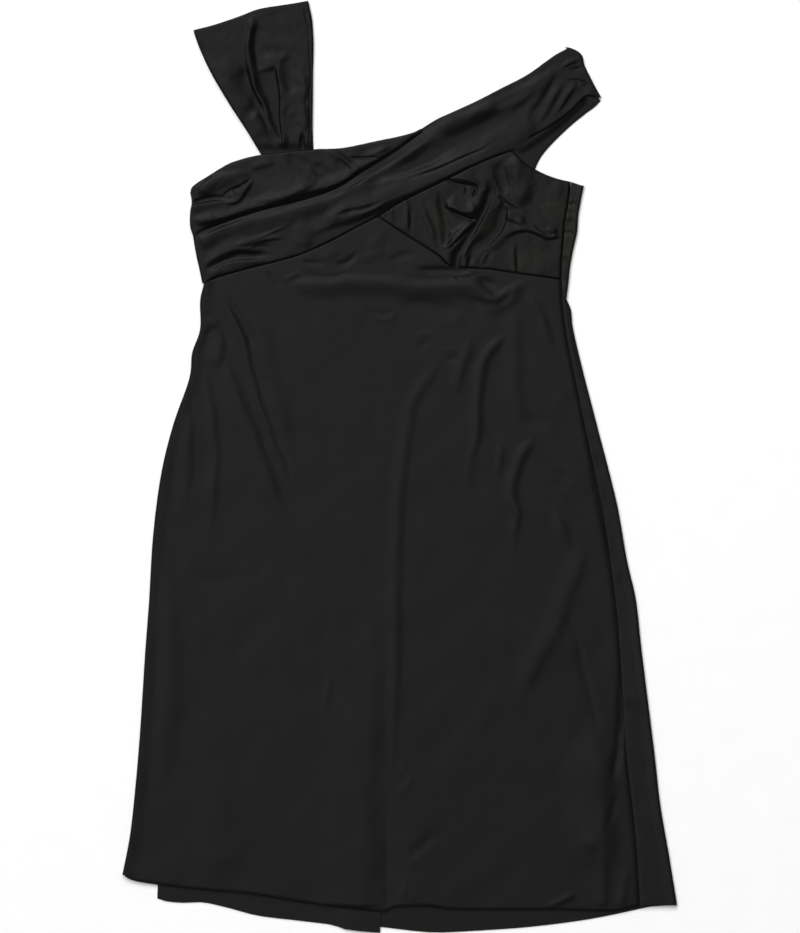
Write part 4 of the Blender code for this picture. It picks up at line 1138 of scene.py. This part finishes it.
    def upper_drape(self) -> Panel:
        """Shapes the upper drape: pleats from the left side, and a lower edge rolled over onto the band."""
        across, rows = self.drape_steps
        down = np.interp(even(rows), (0.0, 0.12, 0.7, 1.0), (0.0, 0.05, 0.82, 1.0))
        side = along(self.drape_side, down)
        fold_line = side + (self.drape_lie / 2 / STEP, 0.0)
        top = along(self.neckline, even(across))
        bottom = along(self.drape_roll, even(across))
        top[0], bottom[0] = fold_line[0], fold_line[-1]
        right = top[-1] + (bottom[-1] - top[-1]) * down[:, None]
        points = net(top, bottom, fold_line, right, down)
        height = raised(points, self.drape_lie, LOWEST + 2 * CLOTH.thick, self.drape_folds)
        landing = LOWEST + CLOTH.thick + 0.1 * MILLIMETRE
        height = rounded_off(points, height, points[-1:], landing, 5.0)
        height = rounded_off(points, height, points[:1], self.drape_lie - 1.6 * MILLIMETRE, 3.0)
        height = settled(points, height, points[:, :1], self.drape_lie)
        turn = turned_under(side, (-1.0, 0.0), self.drape_lie, np.full(len(side), self.turn))
        skins = turn.backwards().then(Skins.of(points, height))
        return Panel("upper_drape", "drape_upper", skins, self.drape_cut, ("lower_drape",), Held.GATHERED)

    def lower_drape(self) -> Panel:
        """Shapes the lower drape: pleats from the left side, across the front and up to the right shoulder."""
        down = np.interp(even(self.band_rows), (0.0, 0.1, 0.9, 1.0), (0.0, 0.06, 0.94, 1.0))
        bottom = joined(*zip((LINES.band_skirt, LINES.band_cup, self.strap_lower), self.band_steps))
        steps = len(bottom) - 1
        side = along(self.band_side, down)
        shoulder = along(self.shoulder, down)
        fold_line = side + (self.lie / 2 / STEP, 0.0)
        shoulder_line = shoulder - self.lie / 2 / STEP * np.array(self.shoulder_way)
        top = along(self.band_top, even(steps))
        top[0], bottom[0] = fold_line[0], fold_line[-1]
        top[-1], bottom[-1] = shoulder_line[0], shoulder_line[-1]
        points = inset(net(top, bottom, fold_line, shoulder_line, down), CLOTH.seam_gap, Side.BOTTOM)
        free = self.strap_lower[1:]
        height = raised(points, self.lie, LOWEST, self.band_folds, ROLLED_SEAMS, (Edge(1.3, 3.0, free),))
        height = settled(points, height, points[:, :1], self.lie)
        height = settled(points, height, points[:, -1:], self.lie)
        across = points[..., 0]
        edge_level = self.lie - 0.9 * MILLIMETRE
        rolled = rounded_off(points, height, points[:1], edge_level, 3.5)
        height = np.where(across > 430, rolled, height)
        covered = ease((440 - across) / 12) * ease((across - 202) / 12)
        groove_end = np.interp(across, self.groove_ends[0], self.groove_ends[1])
        tucked = (1 - np.clip((down[:, None] - 0.05) / (groove_end - 0.05), 0.0, 1.0)) * covered
        height = height * (1 - tucked) + self.groove_floor * tucked
        left_turn = turned_under(
            points[:, 0] - (self.lie / 2 / STEP, 0.0), (-1.0, 0.0), self.lie, np.full(len(side), self.turn)
        )
        right_turn = turned_under(shoulder, self.shoulder_way, self.lie, np.full(len(side), self.strap_turn))
        skins = left_turn.backwards().then(Skins.of(points, height)).then(right_turn)
        return Panel("lower_drape", "drape_band", skins, self.band_cut, ("back_bodice",), Held.GATHERED)

    def cup(self) -> Panel:
        """Shapes the gathered cup: a net between the band, the armhole, the side seam and the skirt."""
        across, rows = self.cup_steps
        band_edge = along(LINES.band_cup, even(across))
        side_edge = along(LINES.cup_side, even(across))[::-1]
        skirt_edge = along(LINES.cup_skirt, even(rows))
        points = net(band_edge, side_edge, skirt_edge, along(self.armhole, even(rows)))
        points = inset(points, CLOTH.seam_gap, Side.TOP, Side.BOTTOM, Side.LEFT)
        dips = (FLAT_SEAMS[1], ROLLED_SEAMS[2], ROLLED_SEAMS[3], Edge(1.2, 2.5, self.armhole))
        height = raised(points, self.lie, LOWEST, self.cup_folds, dips)
        skins = Skins.of(points, height)
        rests = ("back_bodice",)
        return Panel("cup_front", "cup", skins, self.cup_cut, rests, Held.GATHERED, self.cup_patches)

    def panels(self) -> list[Panel]:
        """Returns the bodice's panels."""
        return [self.back(), self.upper_drape(), self.lower_drape(), self.cup()]


@dataclass(frozen=True)
class LeftStrap:
    """The left strap: a pleated fan in front, which turns over at the shoulder, and a plain back beneath it."""

    lie: float = 4.6 * MILLIMETRE
    base_lie: float = 2.8 * MILLIMETRE
    turn: float = 3.0
    shoulder_gap: float = 0.5
    back_inset: float = 3.0
    steps: tuple[int, int] = (100, 130)
    back_steps: tuple[int, int] = (30, 40)
    way: tuple[float, float] = (-0.262, -0.965)
    shoulder: Rows = ((193.4, 30), (216, 24), (240, 15.8), (258, 9), (280, 5.2), (292, 3.4), (308, 0.6))
    left: Rows = ((193.4, 31), (199.4, 48), (211, 73), (228.6, 103), (247.4, 132), (263, 158))
    right: Rows = ((308, 1), (312, 19), (313.5, 44), (313, 73), (312.5, 130), (312, 158))
    base: Rows = ((263, 158), (290, 158.5), (312, 158))
    back_base: Rows = ((264, 163), (314, 158))
    front_cut: tuple[float, float, float] = (0.14, 0.20, 0.0195)
    back_cut: tuple[float, float, float] = (0.13, 0.18, 0.0144)
    folds: tuple[Relief, ...] = (
        Fold(1.5, 5, 9, (
            (287, 154), (280, 141), (272.5, 127), (265, 110), (261, 100), (255, 85), (250, 70), (248, 55), (249, 40),
            (252, 10),
        ), (0.1, 0.1)),
        Fold(-1.6, 24, 3.4, ((281, 148), (278.2, 122), (276.6, 95), (274.5, 64)), (0.2, 0.1)),
        Fold(-1.1, 8, 26, ((284, 148), (275, 124), (268, 106), (261, 87), (257, 70)), (0.2, 0.15)),
        Fold(-1.5, 8, 15, ((258, 72), (256, 55), (256, 40), (257.5, 20)), (0.15, 0.25)),
        Fold(0.7, 2.6, 9, ((284, 154), (281.7, 125), (280.3, 100), (279, 82), (276.8, 62)), (0.1, 0.1)),
        Fold(1.6, 30, 18, ((256, 110), (243, 102), (234, 91), (229.5, 75), (229, 52)), (0.2, 0.3)),
        Fold(-1.5, 24, 6, ((268, 120), (256, 100), (249.5, 86), (244.5, 72), (242, 56)), (0.25, 0.35)),
        Fold(0.4, 5, 8, ((254, 62.5), (266, 63.5), (277, 63.5)), (0.2, 0.1)),
        Fold(-1.1, 9, 8, ((258, 55), (272, 51), (286, 54)), (0.3, 0.3)),
        Fold(-1.2, 12, 9, ((288, 98), (291, 78), (288, 52)), (0.3, 0.25)),
        Fold(0.9, 10, 6, ((303, 106), (304, 88), (300, 66))),
        Fold(-0.6, 7, 6, ((297, 134), (295, 124), (292, 112))),
        Fold(1.1, 9, 6, ((304, 134), (304, 116), (303, 98))),
        Fold(-1.8, 5, 2.2, ((304.5, 154), (303, 141), (303.5, 131)), (0.1, 0.4)),
        Fold(1.4, 15, 9, ((270, 138), (258, 122), (250, 106)), (0.4, 0.3)),
        Fold(-0.6, 1.3, 1.3, ((309.5, 152), (310, 100), (310, 50), (305, 6)), (0.05, 0.05)),
        Rumple(0.18, 24, 51),
        Rumple(0.07, 10, 52),
    )

    def front(self) -> Panel:
        """Shapes the front: a net from the shoulder to the neckline, raised by its pleats."""
        across, rows = self.steps
        shoulder = along(self.shoulder, even(across))
        fold_line = shoulder - self.lie / 2 / STEP * np.array(self.way)
        base = along(self.base, even(across))
        left, right = along(self.left, even(rows)), along(self.right, even(rows))
        left[0], right[0] = fold_line[0], fold_line[-1]
        points = net(fold_line, base, left, right)
        height = raised(points, self.lie, LOWEST, self.folds)
        edge_level = self.lie - 1.2 * MILLIMETRE
        height = rounded_off(points, height, points[:, :1], edge_level, 2.5)
        height = rounded_off(points, height, points[:, -1:], edge_level, 2.0)
        height = settled(points, height, points[:1], self.lie, 6.0)
        tucked = ease((points[..., 1] - 141) / 11)
        height = height * (1 - tucked) + self.base_lie * tucked
        turn = turned_under(shoulder, self.way, self.lie, np.full(len(shoulder), self.turn))
        skins = turn.backwards().then(Skins.of(points, height).turned()).turned()
        return Panel("left_strap_front", "strap_left_front", skins, self.front_cut, ("left_strap_back",), Held.GATHERED)

    def back(self) -> Panel:
        """Shapes the back: a net flat on the table."""
        across, rows = self.back_steps
        reach = self.lie / 2 / STEP + self.turn + self.shoulder_gap
        top = along(self.shoulder, even(across)) - reach * np.array(self.way)
        bottom = np.linspace(*np.array(self.back_base, float), across + 11)[10:]
        left = np.linspace(top[0] + (self.back_inset, 0.0), bottom[0], rows + 1)
        right = np.linspace(top[-1] - (self.back_inset, 0.0), bottom[-1], rows + 1)
        top[0], top[-1] = left[0], right[0]
        points = inset(net(top, bottom, left, right), CLOTH.seam_gap, Side.TOP, Side.BOTTOM)
        skins = Skins.of(points, np.full(points.shape[:2], CLOTH.thick))
        return Panel("left_strap_back", "strap_left_back", skins, self.back_cut, ("floor",))

    def panels(self) -> list[Panel]:
        """Returns the strap's panels."""
        return [self.front(), self.back()]


@dataclass(frozen=True)
class RightStrap:
    """The back of the right strap, flat on the table; its front is the end of the lower drape."""

    steps: tuple[int, int] = (40, 60)
    inner_edge: Rows = ((464, 165.5), (478, 138), (500, 116), (530, 94), (555, 76), (568, 66))
    outer_edge: Rows = (
        (531, 181), (535.6, 168), (540, 158.6), (546, 150.4), (556, 139.6), (571, 125.4), (586, 113.2), (594, 107.4),
        (600.6, 101),
    )
    end: Rows = ((568, 66), (582, 79), (591, 88.5), (597.6, 95.6), (600.6, 101))
    cut: tuple[float, float, float] = (0.08, 0.175, 0.0091)
    folds: tuple[Relief, ...] = (
        Fold(1.6, 14, 9, ((512, 150), (526, 143), (545, 130), (565, 114), (584, 95)), (0.1, 0.05)),
        Edge(0.3, 2.5, ((535.6, 168), (546, 150.4), (571, 125.4), (600.4, 101.4))),
    )

    def back(self) -> Panel:
        """Shapes the back: a net from the back neckline to the shoulder."""
        across, rows = self.steps
        inner = along(self.inner_edge, even(rows))[::-1]
        outer = along(self.outer_edge, even(rows))[::-1]
        top = along(self.end, even(across))
        bottom = np.linspace(inner[-1], outer[-1], across + 1)
        points = inset(net(top, bottom, inner, outer), CLOTH.seam_gap, Side.TOP, Side.BOTTOM)
        height = np.full(points.shape[:2], 1.2 * MILLIMETRE)
        for relief in self.folds:
            height = height + relief.height(points)
        skins = Skins.of(points, height)
        return Panel("right_strap_back", "strap_right_back", skins, self.cut, ("floor",))

    def panels(self) -> list[Panel]:
        """Returns the strap's panels."""
        return [self.back()]


@dataclass(frozen=True)
class Softbox:
    """A lamp with a plain rectangular face, aimed at the dress. `radiance` is its brightness."""

    name: str
    centre: tuple[float, float, float]
    size: tuple[float, float]
    radiance: float

    def build(self) -> None:
        """Places the lamp; its power is pi times its area times its brightness."""
        from mathutils import Vector

        lamp = bpy.data.lights.new(self.name, "AREA")
        lamp.shape = "RECTANGLE"
        lamp.size, lamp.size_y = self.size
        lamp.energy = math.pi * self.size[0] * self.size[1] * self.radiance
        holder = bpy.data.objects.new(self.name, lamp)
        holder.location = self.centre
        holder.rotation_euler = Vector(self.centre).to_track_quat("Z", "Y").to_euler()
        bpy.context.scene.collection.objects.link(holder)


@dataclass(frozen=True)
class Studio:
    """The pale floor, the soft lamps and the camera straight above the dress."""

    floor_size: float = 12.0
    floor_drop: float = 0.2 * MILLIMETRE
    lens: float = 255.0
    camera_place: tuple[float, float, float] = (0.0004, -0.0002, 7.603)
    lamps: tuple[Softbox, ...] = (
        Softbox("overhead_lamp", (-2.4, 2.0, 10.0), (9.2, 10.0), 2.75),
        Softbox("bright_lamp", (-3.9, 5.7, 8.4), (5.7, 5.1), 4.5),
        Softbox("shoulder_lamp", (0.0, 8.1, 6.3), (8.4, 3.0), 5.0),
    )
    zenith: float = 0.10
    horizon: float = 0.35

    def floor(self) -> None:
        """Lays the floor: a square with a faint, even grain."""
        graph = Graph("pale_floor")
        place = graph.node("ShaderNodeTexCoord", {}, {}).outputs["Object"]
        grain = graph.noise(place, 30.0)
        graph.feed(graph.shader.inputs["Base Color"], graph.mixed(grain, (0.90, 0.90, 0.90, 1), (0.93, 0.93, 0.93, 1)))
        graph.shader.inputs["Roughness"].default_value = 0.9
        graph.shader.inputs["Specular IOR Level"].default_value = 0.1
        half = self.floor_size / 2
        corners = np.array([(-half, -half), (half, -half), (half, half), (-half, half)])
        mesh = bpy.data.meshes.new("floor")
        mesh.from_pydata(np.column_stack([corners, np.full(4, -self.floor_drop)]).tolist(), [], [(0, 1, 2, 3)])
        mesh.materials.append(graph.material)
        ground = bpy.data.objects.new("floor", mesh)
        bpy.context.scene.collection.objects.link(ground)

    def sky(self) -> None:
        """Lights the room: the brightness goes from the zenith's to the horizon's as the height falls to nothing."""
        world = bpy.data.worlds.new("studio")
        world.use_nodes = True
        tree = world.node_tree
        place = tree.nodes.new("ShaderNodeTexCoord")
        axes = tree.nodes.new("ShaderNodeSeparateXYZ")
        ramp = tree.nodes.new("ShaderNodeMapRange")
        tree.links.new(place.outputs["Generated"], axes.inputs[0])
        tree.links.new(axes.outputs["Z"], ramp.inputs["Value"])
        ramp.inputs["From Max"].default_value = 0.35
        ramp.inputs["To Min"].default_value = self.horizon
        ramp.inputs["To Max"].default_value = self.zenith
        tree.links.new(ramp.outputs[0], tree.nodes["Background"].inputs["Strength"])
        tree.nodes["Background"].inputs["Color"].default_value = (1.0, 1.0, 1.0, 1.0)
        bpy.context.scene.world = world

    def camera(self) -> None:
        """Hangs the camera straight above the dress, with the top of its picture towards the shoulders."""
        camera = bpy.data.cameras.new("camera")
        camera.lens = self.lens
        camera.clip_end = 50.0
        holder = bpy.data.objects.new("camera", camera)
        holder.location = self.camera_place
        bpy.context.scene.collection.objects.link(holder)
        bpy.context.scene.camera = holder

    def build(self) -> None:
        """Sets up the floor, the light and the camera."""
        self.floor()
        self.sky()
        self.camera()
        for lamp in self.lamps:
            lamp.build()
        bpy.context.scene.view_settings.view_transform = "Standard"


SKIRT_SATIN = Satin("skirt_satin", (0.0045, 0.0045, 0.0045), specular=0.09)
BODICE_SATIN = Satin("bodice_satin", (0.0022, 0.0027, 0.0025), roughness=0.37, bump=0.2, specular=0.09)


def main() -> None:
    """Builds the dress and its studio."""
    logging.basicConfig(level=logging.INFO, format="%(name)s: %(message)s")
    Studio().build()
    for group, finish in (
        (Skirt(), SKIRT_SATIN.build()),
        (Bodice(), BODICE_SATIN.build()),
        (LeftStrap(), bpy.data.materials["bodice_satin"]),
        (RightStrap(), bpy.data.materials["bodice_satin"]),
    ):
        for panel in group.panels():
            panel.build(finish)


if __name__ == "__main__":
    main()
